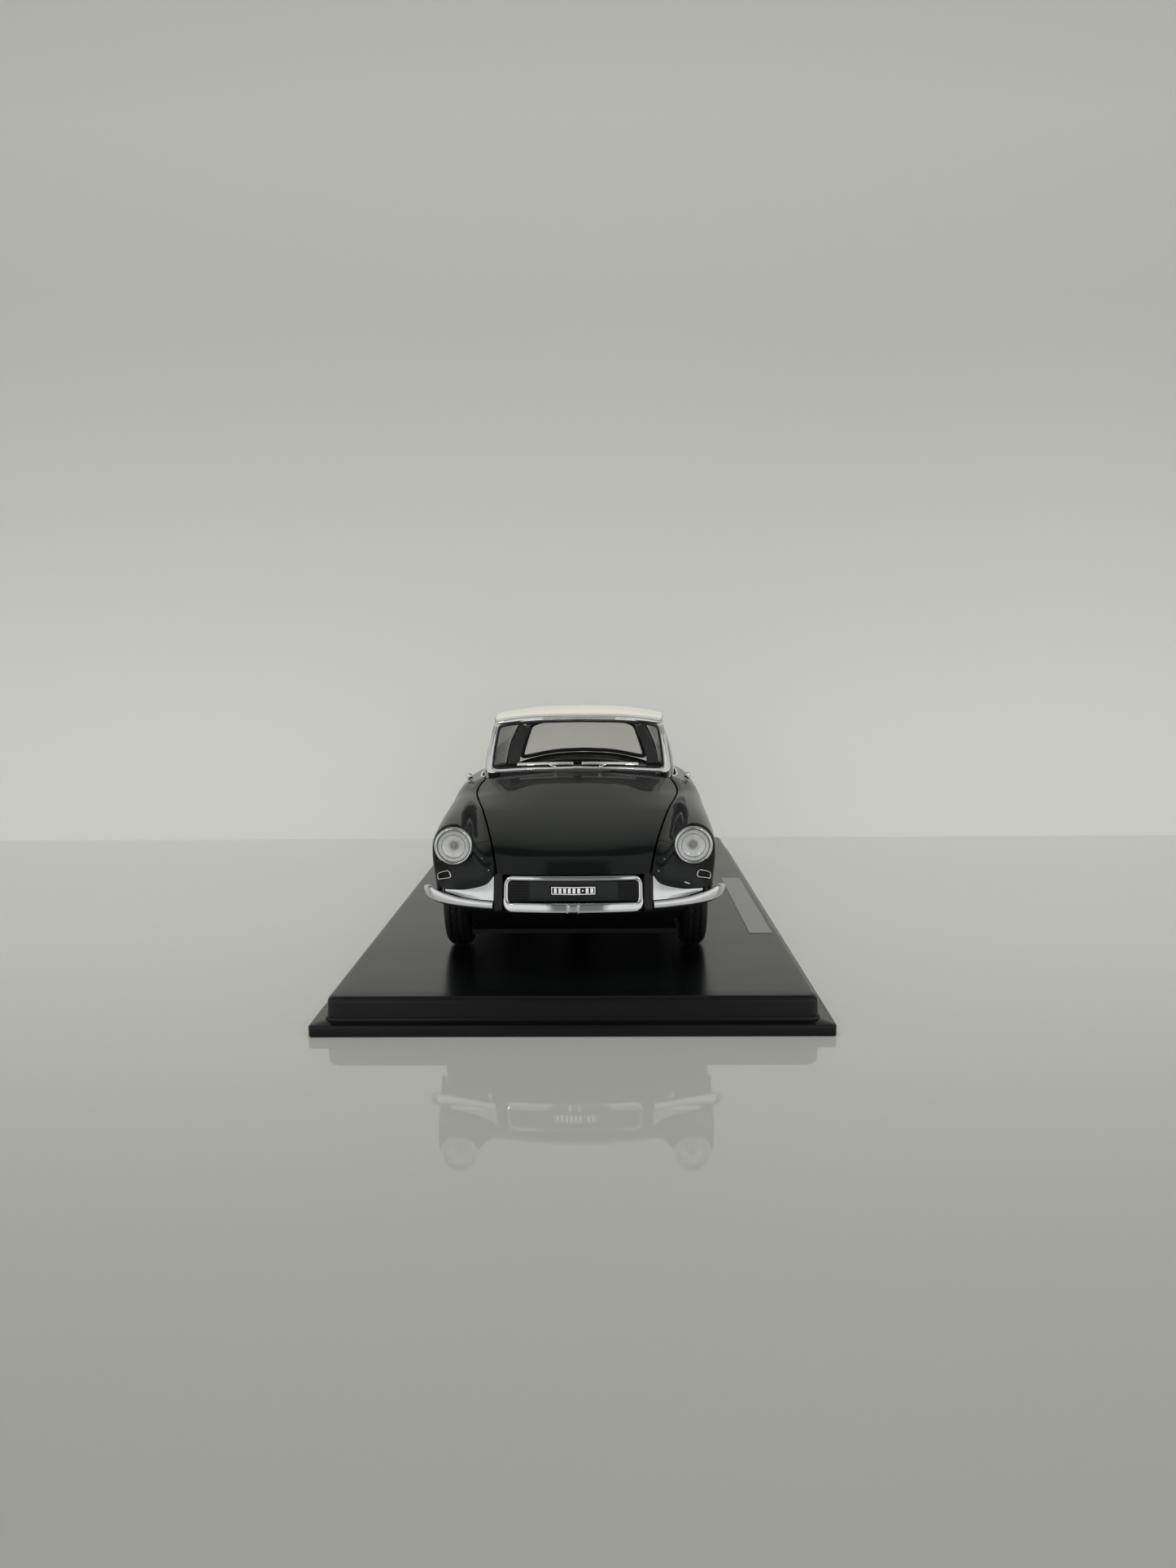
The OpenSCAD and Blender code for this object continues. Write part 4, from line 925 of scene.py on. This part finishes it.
# Headlamps: chrome rim, silver bowl, shielded bulb and a fluted lens
lampLook = {"flute": 0.42, "fluteDepth": 0.09, "ring": 0.36, "ringDepth": 0.07}
lampCentre = (lampAxis["x"], lampAxis["s"], lampAxis["z"])
forward = (0, -1, 0)
rimProfile = [[4.02, -2.2], [4.4, -2.2], [4.41, -0.2], [4.6, -0.12], [4.74, 0.05], [4.76, 0.3], [4.7, 0.55],
              [4.58, 0.78], [4.42, 0.93], [4.28, 0.97], [4.14, 0.9], [4.05, 0.75], [4.02, 0.5]]
addPair("headlampRim", latheMesh(rimProfile, 96, lampCentre, forward), "chrome", "chrome",
        replaces=(["headlamp_bezels"], []), sharp=60)
collarProfile = [[4.3, -5.5], [4.5, -5.5], [4.5, -0.15], [4.3, -0.15]]
addPair("headlampCollar", latheMesh(collarProfile, 96, lampCentre, forward), "greenEnamel",
        "paint_dark_green")
bowlLook = {"radius": 3.98, "front": (-2.3, 1.9), "rim": -1.0, "back": (-2.9, 1.7)}


def bowlSide(deep, rise):
    radii = ramp(0, bowlLook["radius"], 20)
    return [[radius, deep + rise * (radius / bowlLook["radius"])**2] for radius in radii]


bowlRim = [[bowlLook["radius"], bowlLook["rim"]]]
bowl = bowlSide(*bowlLook["front"]) + bowlRim + bowlSide(*bowlLook["back"])[::-1]
addPair("headlampBowl", latheMesh(bowl, 72, lampCentre, forward), "reflector", "chrome",
        replaces=(["headlamp_reflectors"], []))
bulb = [[0, -0.55], [0.45, -0.6], [0.72, -0.8], [0.8, -1.1], [0.8, -1.5], [0.45, -1.9], [0.45, -3.5],
        [0, -3.5]]
addPair("headlampBulb", latheMesh(bulb, 36, lampCentre, forward), "rubber", "grille_black")
bulbRing = [[0.8, -0.95], [0.92, -0.75], [1.12, -0.62], [1.3, -0.75], [1.34, -1.1], [1.0, -1.4], [0.8, -1.3]]
addPair("headlampBulbRing", latheMesh(bulbRing, 48, lampCentre, forward), "chrome", "chrome")
gasket = [[3.9, 0.1], [4.06, 0.05], [4.08, 0.5], [3.98, 0.62], [3.88, 0.5]]
innerRing = [[2.84, 0.2], [2.98, 0.2], [2.98, 0.6], [2.91, 0.66], [2.84, 0.6]]
addPair("headlampGasket", joined(latheMesh(gasket, 96, lampCentre, forward),
                                 latheMesh(innerRing, 96, lampCentre, forward)), "steel", "chrome")


def lensMesh():
    radii = np.concatenate([ramp(0, 2.9, 30)[:-1], ramp(2.9, 3.98, 28)])
    angles = np.arange(180) / 180 * 2 * np.pi
    r, a = np.meshgrid(radii, angles, indexing="ij")
    x, z = r * np.cos(a), r * np.sin(a)
    crown = 0.85 - 0.6 * (r / 3.98)**2
    inner = np.clip((2.85 - r) / 0.2, 0, 1)
    flutes = lampLook["fluteDepth"] * np.cos(2 * np.pi * x / lampLook["flute"]) * inner
    rings = lampLook["ringDepth"] * np.cos(2 * np.pi * (r - 2.9) / lampLook["ring"]) * (1 - inner)
    front = np.stack([x, -(crown + flutes + rings), z], -1) + np.array(lampCentre)
    back = np.stack([x, -(crown - 0.45), z], -1) + np.array(lampCentre)
    return tubeMesh(np.concatenate([front, back[::-1]]), looped=False)


addPair("headlampLens", lensMesh(), "lens", "lamp_lens", replaces=(["headlamp_lenses"], []), sharp=75)

# Side and turn lamps low in the wing's nose: chrome rim and clear lens
turnLook = {"middle": (0.795, 1.71), "half": (0.05, 0.3), "squareness": 5, "facing": 1, "lift": 0.3,
            "halfWidth": 0.14, "halfDepth": 0.16}
addPair("turnLampRim", tubeMesh(surroundRings(nose, turnLook, 90), True), "chrome", "chrome")
turnSheet = gridOf(ramp(0.84, 0.75, 14), ramp(1.43, 1.99, 16), nose)
turnNormals = unitRows(np.cross(np.gradient(turnSheet, axis=0), np.gradient(turnSheet, axis=1))) * -1
crownRows = np.sin(np.pi * ramp(0, 1, 14))[:, None] * np.sin(np.pi * ramp(0, 1, 16))[None, :]
addPair("turnLampLens", plateMesh(turnSheet + turnNormals * (0.35 + 0.4 * crownRows[..., None]), 0.4, -1),
        "glazing", "lamp_lens", replaces=(["front_indicators"], []), bevel=0.08)


def levelLine(grid, level, columnRange):
    # where a sheet crosses a height, one point for each row of its points
    points = []
    for j in range(*columnRange):
        line = grid[:, j]
        for i in range(len(line) - 1):
            z0, z1 = line[i, 2], line[i + 1, 2]
            if (z0 - level) * (z1 - level) < 0:
                points.append(line[i] + (line[i + 1] - line[i]) * (level - z0) / (z1 - z0))
                break
    return np.array(points)


seamLine = levelLine(wingSheet(), 31.1, (0, 27))
seamLine = seamLine[np.hypot(seamLine[:, 0] - lampAxis["x"], seamLine[:, 2] - lampAxis["z"]) > 4.6]
addPair("lampPodSeam", tubeMesh(ringsAlong(seamLine, [0, 0, 0.13], [0, 0.16, 0.02], around=8)), "rubber",
        "rubber_black")
print("lamps done")

# Roof gutter, belt mouldings and the posts between the side windows
gutterV = ramp(0.0, 1.0, 90)
gutterPath = roofAt(np.ones_like(gutterV), gutterV) + [0.1, 0, -0.55]


def beltPath(s0, s1):
    s = ramp(s0, s1, 60)
    return np.stack([curve(rim, s, 1) - 0.25, s, curve(rim, s, 2) + 0.2], -1)



def postPath(lowS, topS):
    g = ramp(0, 1, 20)
    return upright(np.full_like(g, lowS), np.full_like(g, topS), g) + np.array([-0.45, 0, 0])


fixed = (root, root)
doorBodies = ("left_door_body", "right_door_body")
trimStrips = {
    "gutterTrim": (gutterPath, [0, 0, 0.45], [0.35, 0, 0], "chrome", "chrome", fixed),
    "frontBelt": (beltPath(67.5, 104.3), [0, 0, 0.32], [0.35, 0, 0], "chrome", "chrome", doorBodies),
    "rearBelt": (beltPath(105.4, 157.0), [0, 0, 0.32], [0.35, 0, 0], "chrome", "chrome", fixed),
    "middlePost": (postPath(104.85, 104.85), [0, 0.75, 0], [0.35, 0, 0], "blackPlastic", "rubber_black",
                   fixed),
    "rearPost": (postPath(139.6, 136.4), [0, 0.55, 0], [0.35, 0, 0], "chrome", "chrome", fixed),
    "frontPost": (postPath(70.2, 81.4), [0, 0.4, 0.2], [0.3, 0, 0], "chrome", "chrome", doorBodies),
}
for name, (path, wide, deep, finish, slotName, bodies) in trimStrips.items():
    addPair(name, tubeMesh(ringsAlong(path, wide, deep, around=12)), finish, slotName, bodies)

# Door handles: a push-button grip on two feet
handleLook = {"length": 6.4, "v": 1.62, "front": 96.4, "rear": 131.5}


def handleShape(s0):
    s = ramp(s0, s0 + handleLook["length"], 26)
    on = side(s, np.full_like(s, handleLook["v"]), doorFoot(s))
    lift = 0.25 + 0.55 * np.sin(np.pi * ramp(0, 1, 26))**0.5
    grip = ringsAlong(on + np.stack([lift, 0 * lift, 0.15 * lift], -1), [0.1, 0, 0.42], [0.22, 0, 0.05],
                      around=12)
    button = latheMesh([[0, 1.0], [0.3, 0.95], [0.45, 0.75], [0.45, -0.3], [0, -0.3]], 24,
                       on[-1] + [0, 0.9, 0], (1, 0, 0.2))
    return joined(tubeMesh(grip), button)


addPair("frontDoorHandle", handleShape(handleLook["front"]), "chrome", "chrome", doorBodies)
addPair("rearDoorHandle", handleShape(handleLook["rear"]), "chrome", "chrome")

# Mirrors: a small round dish on a stalk at the door's front corner
mirrorFoot = np.array([31.4, 69.6, 39.9])
stalkPath = mirrorFoot + np.array([[0, 0, -0.6], [0.25, -0.1, 0.3], [0.6, -0.2, 1.0], [0.9, -0.2, 1.5]])
dish = latheMesh([[0, 0.45], [0.6, 0.37], [0.9, 0.12], [1.02, -0.2], [0.95, -0.3], [0, -0.25]], 40,
                 mirrorFoot + [1.2, -0.1, 1.9], (0.25, -0.96, 0.05))
addPair("doorMirror", joined(tubeMesh(ringsAlong(stalkPath, [0.22, 0, 0], [0, 0.22, 0], around=12)), dish),
        "chrome", "chrome", doorBodies)
print("side trim done")

# Rear end: bumper, lamps, plate and the corner lamps under the roof
rearBar = {"half": 27.3, "bend": 27.6, "s": 201.2, "z": 15.4, "wrap": 4.8, "power": 8}
rearX = ramp(-rearBar["half"], rearBar["half"], 110)
rearA = np.abs(rearX) / rearBar["bend"]
rearPath = np.stack([rearX, rearBar["s"] - rearBar["wrap"] * rearA**rearBar["power"],
                     np.full_like(rearX, rearBar["z"])], -1)
rearSlope = rearBar["power"] * rearBar["wrap"] * rearA**(rearBar["power"] - 1) / rearBar["bend"]
rearOut = unitRows(np.stack([np.sign(rearX) * rearSlope, np.ones_like(rearX), 0 * rearX], -1))
addPiece("rearBumperBar", tubeMesh(ringsAlong(rearPath, [0, 0, 1.2], rearOut * 0.45, around=20)), "chrome",
         root, "chrome", ["rear_bumper"])
tailCentre = (19.2, 199.05, 18.4)
tailLens = [[0, 1.4], [0.6, 1.35], [1.2, 1.1], [1.5, 0.7], [1.55, 0.2], [1.4, 0], [0, 0]]
tailRim = [[1.5, 0.0], [1.95, 0.0], [1.95, 0.45], [1.8, 0.6], [1.6, 0.55], [1.5, 0.4]]
addPair("tailLampLens", latheMesh(tailLens, 40, tailCentre, (0, 1, 0)), "redLens", "lamp_red",
        replaces=(["tail_lamps"], []))
addPair("tailLampRim", latheMesh(tailRim, 40, tailCentre, (0, 1, 0)), "chrome", "chrome")
addPiece("rearPlateBlank", slab((-7.4, 199.0, 17.3), (7.4, 199.7, 21.0), 0.2), "blackPlastic", root,
         "grille_black")
rearMarks = [slab((x, 199.6, 18.5), (x + 1.0, 199.85, 19.8), 0.08)
             for x in (-5.6, -4.2, -2.8, -0.7, 0.7, 2.8, 4.2)]
addPiece("rearPlateMarks", joined(*rearMarks), "plateWhite", root, "label_silver")
addPiece("bootHandle", slab((-2.6, 198.6, 22.4), (2.6, 200.2, 23.1), 0.3), "chrome", root, "chrome")
cornerCentre = (20.4, 150.6, 52.2)
addPair("cornerLampShell",
        latheMesh([[0, -4.2], [0.25, -4.0], [0.7, -2.6], [1.05, -1.0], [1.15, 0.4], [1.0, 0.45],
                   [0.85, 0.1], [0, 0.1]], 36, cornerCentre, (0.12, 0.97, -0.2)), "chrome", "chrome")
addPair("cornerLampLens",
        latheMesh([[0, 0.85], [0.45, 0.78], [0.8, 0.5], [0.85, 0.2], [0, 0.2]], 36, cornerCentre,
                  (0.12, 0.97, -0.2)), "redLens", "lamp_red")
print("rear end done")

# Wheels: silver rim, chrome cap and a tyre with zigzag grooves
wheelSizes = {"front": (31.0, 7.2), "rear": (26.2, 5.6)}


def tyreMesh(centre, width):
    h = width / 2
    grooves = []
    for y in (h * 0.45, 0, -h * 0.45):
        grooves += [[13.7, y + 0.24], [13.3, y + 0.16], [13.3, y - 0.16], [13.7, y - 0.24]]
    outline = [[8.58, h - 0.7], [9.0, h - 0.25], [9.7, h - 0.05], [10.2, h - 0.12], [10.4, h - 0.02],
               [11.4, h], [12.4, h - 0.25], [13.1, h - 0.75], [13.5, h - 1.2], [13.66, h - 1.6]]
    outline = outline + grooves + [[r, -y] for r, y in reversed(outline)]
    vertices, faces = latheMesh(outline, 144, centre, (1, 0, 0))
    dy, dz = vertices[:, 1] - centre[1], vertices[:, 2] - centre[2]
    radius, angle = np.hypot(dy, dz), np.arctan2(dz, dy)
    zigzag = np.abs((angle / (2 * np.pi) * 36) % 1 - 0.5) * 4 - 1
    vertices[:, 0] += np.where((radius > 13.2) & (np.abs(vertices[:, 0] - centre[0]) < h * 0.6),
                               zigzag * 0.16, 0)
    return vertices, faces


def rimMesh(centre, width):
    f = width / 2 - 0.9
    outline = [[1.6, -f + 1.2], [2.6, 0.2], [6.6, 0.2], [7.7, -f], [8.56, -f], [8.56, f], [8.3, f + 0.12],
               [8.0, f], [7.8, f - 0.35], [7.2, 1.2], [6.4, 0.95], [1.6, 0.95]]
    return latheMesh(outline, 96, centre, (1, 0, 0))


def capMesh(centre, width):
    f = width / 2 - 0.9
    outline = [[0, f + 0.8], [0.9, f + 0.78], [1.3, f + 0.66], [1.42, f + 0.45], [2.2, f + 0.5],
               [3.2, f + 0.38], [4.2, f + 0.1], [5.0, f - 0.28], [5.5, f - 0.62], [5.75, f - 0.6],
               [6.1, f - 0.8], [6.3, f - 1.15], [6.2, f - 1.3], [5.4, f - 1.1], [4.0, f - 0.5], [0, f - 0.2]]
    return latheMesh(outline, 96, centre, (1, 0, 0))


for end, (wheelX, width) in wheelSizes.items():
    centre = np.array([wheelX, *wheelAxis[end]])
    bodies = (end + "_wheels_body",) * 2
    tyreNodes, rimNodes = [([f"{end}_{part}_left"], [f"{end}_{part}_right"]) for part in ("tyre", "wheel")]
    addPair(end + "Tyre", tyreMesh(centre, width), "tyreRubber", "tyre_black", bodies, tyreNodes, sharp=35)
    addPair(end + "Rim", rimMesh(centre, width), "wheelPaint", "wheel_silver", bodies, rimNodes)
    addPair(end + "HubCap", capMesh(centre, width), "chrome", "chrome", bodies)
print("wheels done")

# Cabin: moulded seats with stitched channels, and a parcel shelf


def channels(count, depth, axis, way):
    def dents(flat, faceAxis, faceWay):
        if (faceAxis, faceWay) != (axis, way):
            return np.zeros(flat.shape[:2])
        across = np.abs(np.sin(np.pi * count * (flat[..., 0] + 1) / 2))
        others = [c for c in range(3) if c != axis]
        window = np.prod([1 - np.abs(flat[..., c])**6 for c in others], axis=0)
        return depth * (1 - across**0.5) * window - 0.5 * window * (1 - flat[..., others[0]]**2)
    return dents


def leaned(shape, foot, degrees):
    vertices = np.array(shape[0], float) - foot
    c, s = math.cos(math.radians(degrees)), math.sin(math.radians(degrees))
    turned = np.stack([vertices[:, 0], vertices[:, 1] * c + vertices[:, 2] * s,
                       -vertices[:, 1] * s + vertices[:, 2] * c], -1)
    return turned + foot, shape[1]


frontSeat = joined(
    slab((3, 84.2, 10), (24, 100.5, 19.0), 1.8, 41, channels(6, 0.6, 2, 1)),
    leaned(slab((3.2, 98.4, 17), (23.8, 102.2, 37.2), 1.6, 41, channels(6, 0.6, 1, -1)),
           np.array([0, 100, 17]), 11))
addPiece("frontSeats", mirrorBoth(frontSeat), "brownVinyl", root, "interior_brown", ["front_seats"])
bench = joined(
    slab((-25.5, 118.2, 10), (25.5, 132.5, 19.6), 1.8, 41, channels(9, 0.6, 2, 1)),
    leaned(slab((-24, 133, 17), (24, 137, 37.0), 1.6, 41, channels(9, 0.6, 1, -1)), np.array([0, 134, 17]),
           16),
    slab((-20, 141.5, 33.5), (20, 157, 35.0), 0.5))
addPiece("rearBench", bench, "brownVinyl", root, "interior_brown", ["rear_bench"])
print("cabin done")

# Display plinth: moulded block on a flange, with rounded corners and a soft upper edge
plinthLook = {"lip": 3.25, "flange": 2.7, "wall": 2.2, "edge": 1.35, "ledge": 0.35}


def roundedRectangle(halfX, halfY, radius, z, perCorner=12):
    turn = ramp(0, math.pi / 2, perCorner)
    corners = [(halfX - radius, halfY - radius, 0), (-halfX + radius, halfY - radius, 1),
               (-halfX + radius, -halfY + radius, 2), (halfX - radius, -halfY + radius, 3)]
    return np.concatenate([np.stack([
        cx + radius * np.cos(turn + k * math.pi / 2), cy + radius * np.sin(turn + k * math.pi / 2),
        np.full_like(turn, z)], -1) for cx, cy, k in corners])


def plinthRings(look):
    halfX, halfY, top = plinthHigh.x * 1000, plinthHigh.y * 1000, topZ
    lip, edge, ledge = look["lip"], look["edge"], look["ledge"]
    inner = lip + look["wall"]
    outline = [(inner, top - look["wall"], 1.5), (inner, 0, 1.5), (0.25, 0, 0.8), (0, 0.25, 0.8),
               (0, look["flange"] - 0.3, 0.8), (0.09, look["flange"] - 0.09, 0.8), (0.3, look["flange"], 0.8),
               (lip - ledge - 0.1, look["flange"], 2.6), (lip - ledge, look["flange"] + 0.08, 2.6),
               (lip - ledge, look["flange"] + 0.7, 2.6), (lip - ledge + 0.1, look["flange"] + 0.85, 2.6),
               (lip, look["flange"] + 0.95, 2.6)]
    outline += [(lip + 0.15 + edge * (1 - math.cos(a)), top - edge + edge * math.sin(a), 2.6)
                for a in ramp(0, math.pi / 2, 9)]
    outline.append((lip + 6, top, 2.6))
    rings = [roundedRectangle(halfX - inset, halfY - inset, radius, z) for inset, z, radius in outline]
    return np.array(rings) - [0, noseY, topZ]


addPiece("plinthMoulding", tubeMesh(plinthRings(plinthLook), False), "plinthAbs", root, "plinth_black",
         ["plinth"], sharp=50)

exactNodes = {
    "foil": ["plinth_label"],
    "steel": ["plinth_screws", "front_axle", "rear_axle", "bonnet_hinge_pins", "door_hinge_pins"],
    "blackPlastic": ["chassis", "bulkhead", "cabin_floor"],
    "greenEnamel": ["bonnet_hinge_arms", "scuttle_corners", "sills", "door_hinge_lugs_left",
                    "door_hinge_lugs_right", "tail_panel"],
    "dashPlastic": ["dashboard", "steering_wheel"], "engineGrey": ["engine"],
}
edgeRounding = {"sills": 0.3, "tail_panel": 0.2, "dashboard": 0.5, "engine": 0.4, "scuttle_corners": 0.1}
for finish, names in exactNodes.items():
    for name in names:
        nodes[name].data.materials.clear()
        nodes[name].data.materials.append(finishes[finish])
for name, width in edgeRounding.items():
    roundEdges(nodes[name], width, 42)
print("carried-over nodes finished")

# Stage: pale glossy table and a wall behind, seen only from its front
# table and wall tones are painted shade: the table darker towards the front, the wall darker upwards and
# fading to dark higher up
stageLook = {"wallY": 0.165, "tableTone": ("#85867f", "#a5a6a2"), "tableRun": (-0.36, 0.06),
             "wallTone": ("#d6d7d3", "#b2b3af"), "wallRun": (0.0, 0.28),
             "wallShadeAbove": ((0.32, 0.85), "#161615"), "half": 3.0, "cloudMm": 300, "cloud": 0.12}


def stagePlane(name, corners, material):
    mesh = bpy.data.meshes.new(name)
    mesh.from_pydata(corners, [], [(0, 1, 2, 3)])
    mesh.materials.append(material)
    plane = bpy.data.objects.new(name, mesh)
    bpy.context.scene.collection.objects.link(plane)


def shaded(tree, place, axis, run, tones):
    # painted shade: a tone that drifts along one axis, with a faint unevenness
    along = addNode(tree, "SeparateXYZ", {"Vector": place}).outputs[axis]
    drift = addNode(tree, "MapRange", {"Value": along, "From Min": run[0], "From Max": run[1]},
                    interpolation_type="SMOOTHSTEP")
    cloud = noise(tree, place, stageLook["cloudMm"])
    uneven = addNode(tree, "Math", {0: cloud, 1: stageLook["cloud"], 2: drift.outputs[0]},
                     operation="MULTIPLY_ADD")
    return twoTones(tree, uneven.outputs[0], *tones)


def lacqueredTable(look):
    # Pale lacquered board with a clear mirror gloss; its tone darkens towards the front as painted shade
    material, tree, shader, place = newMaterial("paleTable", inputs={
        "Roughness": 0.5, "Specular IOR Level": 0.2, "Coat Weight": 1.0, "Coat Roughness": 0.03,
        "Coat IOR": 1.5})
    # painted shade: the table is darker towards the front
    tree.links.new(shaded(tree, place, "Y", look["tableRun"], look["tableTone"]), shader.inputs["Base Color"])
    return material


def paintedWall(look):
    # Matt wall paint, open from behind, with painted shade: darker upwards, then fading to dark above 0.32 m
    material, tree, shader, place = newMaterial("paleWall", inputs={"Roughness": 0.9})
    pale = shaded(tree, place, "Z", look["wallRun"], look["wallTone"])
    # painted shade: above 0.32 m the wall fades to a dark tone that stands in for an unlit room
    run, dark = look["wallShadeAbove"]
    height = addNode(tree, "SeparateXYZ", {"Vector": place}).outputs["Z"]
    above = addNode(tree, "MapRange", {"Value": height, "From Min": run[0], "From Max": run[1]})
    fading = addNode(tree, "Mix", {0: above.outputs[0], 6: pale, 7: hexColour(dark)}, data_type="RGBA")
    tree.links.new(fading.outputs[2], shader.inputs["Base Color"])
    behind = addNode(tree, "NewGeometry").outputs["Backfacing"]
    clear = addNode(tree, "BsdfTransparent").outputs[0]
    coverWith(tree, mixShaders(tree, behind, shader.outputs[0], clear))
    return material


half, wallY = stageLook["half"], stageLook["wallY"]
stagePlane("table", [(-half, -half, 0), (half, -half, 0), (half, half, 0), (-half, half, 0)],
           lacqueredTable(stageLook))
stagePlane("wall", [(-half, wallY, 0), (half, wallY, 0), (half, wallY, half), (-half, wallY, half)],
           paintedWall(stageLook))

# Studio light: even soft fill, a pale ring of room at eye height and a darker ceiling in the reflections
lightLook = {"seen": "#c4c5c1", "fill": 0.92, "ring": 0.95, "ceiling": 0.5, "ringTop": (0.34, 0.72),
             "person": (0.13, 0.2), "personTone": 0.22, "tint": "#f8f9f8",
             "lampTone": "#fffefb"}


def addWorld(look):
    world = bpy.data.worlds.new("studio")
    bpy.context.scene.world = world
    world.use_nodes = True
    tree = world.node_tree
    tree.nodes.clear()

    def fade(value, run, ends):
        return addNode(tree, "MapRange", {"Value": value, "From Min": run[0], "From Max": run[1],
                                                    "To Min": ends[0], "To Max": ends[1]},
                       interpolation_type="SMOOTHSTEP").outputs[0]

    rays = addNode(tree, "LightPath")
    direction = addNode(tree, "TexCoord").outputs["Generated"]
    parts = addNode(tree, "SeparateXYZ", {"Vector": direction}).outputs
    ring = fade(parts["Z"], look["ringTop"], (look["ring"], look["ceiling"]))
    # somebody standing in front darkens a narrow band of the room
    sideways = addNode(tree, "Math", {0: parts["X"]}, operation="ABSOLUTE").outputs[0]
    clearOf = addNode(tree, "Math", {0: fade(sideways, look["person"], (0.0, 1.0)),
                                               1: fade(parts["Y"], (-0.4, 0.0), (0.0, 1.0))},
                                               operation="MAXIMUM")
    standing = fade(clearOf.outputs[0], (0.0, 1.0), (look["personTone"], 1.0))
    strength = addNode(tree, "Math", {0: ring, 1: standing}, operation="MULTIPLY")
    glossy, fill, seen = [
        addNode(tree, "Background", {"Color": hexColour(look[tone]), "Strength": power}).outputs[0]
        for tone, power in (("tint", strength.outputs[0]), ("tint", look["fill"]), ("seen", 1.0))]
    room = mixShaders(tree, rays.outputs["Is Diffuse Ray"], glossy, fill)
    whole = mixShaders(tree, rays.outputs["Is Camera Ray"], room, seen)
    addNode(tree, "OutputWorld", {"Surface": whole})


addWorld(lightLook)


def addLight(name, place, target, size, power, inReflections):
    light = bpy.data.lights.new(name, "AREA")
    light.shape, light.size, light.size_y = "RECTANGLE", size[0], size[1]
    light.energy, light.color = power, hexColour(lightLook["lampTone"])[:3]
    lamp = bpy.data.objects.new(name, light)
    lamp.location = place
    lamp.rotation_euler = (Vector(target) - Vector(place)).to_track_quat("-Z", "Y").to_euler()
    lamp.visible_glossy = inReflections
    bpy.context.scene.collection.objects.link(lamp)


# Place, target, size, power, and whether it shows in reflections
lamps = {
    "overhead": ((0.0, -0.1, 1.2), (0.0, 0.0, 0.0), (0.9, 0.6), 9.0, False),
    "frontFill": ((0.0, -0.95, 0.2), (0.0, -0.05, 0.05), (0.6, 0.3), 2.0, False),
    "sparkleLeft": ((-0.55, -0.75, 0.85), (0.0, 0.0, 0.05), (0.08, 0.08), 0.45, True),
    "sparkleRight": ((0.6, -0.75, 0.85), (0.0, 0.0, 0.05), (0.08, 0.08), 0.45, True),
}
for name, settings in lamps.items():
    addLight(name, *settings)

cameraLook = {"place": (0.007661, -0.379608, 0.087495), "yaw": 0.0137, "pitch": 0.1134, "roll": -0.0068,
              "focal": 1447, "long": 1927}


def addCamera(look):
    yaw, pitch, roll = look["yaw"], look["pitch"], look["roll"]
    right = Vector((math.cos(yaw), math.sin(yaw), 0))
    flat = Vector((-math.sin(yaw), math.cos(yaw), 0))
    up = Vector((0, 0, 1))
    forward = math.cos(pitch) * flat - math.sin(pitch) * up
    tilted = math.sin(pitch) * flat + math.cos(pitch) * up
    x = math.cos(roll) * right + math.sin(roll) * tilted
    y = -math.sin(roll) * right + math.cos(roll) * tilted
    data = bpy.data.cameras.new("camera")
    data.sensor_width, data.sensor_fit, data.clip_start = 36, "AUTO", 0.01
    data.lens = data.sensor_width * look["focal"] / look["long"]
    camera = bpy.data.objects.new("camera", data)
    camera.matrix_world = Matrix((
        (x.x, y.x, -forward.x, look["place"][0]), (x.y, y.y, -forward.y, look["place"][1]),
        (x.z, y.z, -forward.z, look["place"][2]), (0, 0, 0, 1)))
    bpy.context.scene.collection.objects.link(camera)
    bpy.context.scene.camera = camera


addCamera(cameraLook)
bpy.context.scene.view_settings.view_transform = "Standard"
print("stage, lights and camera done")
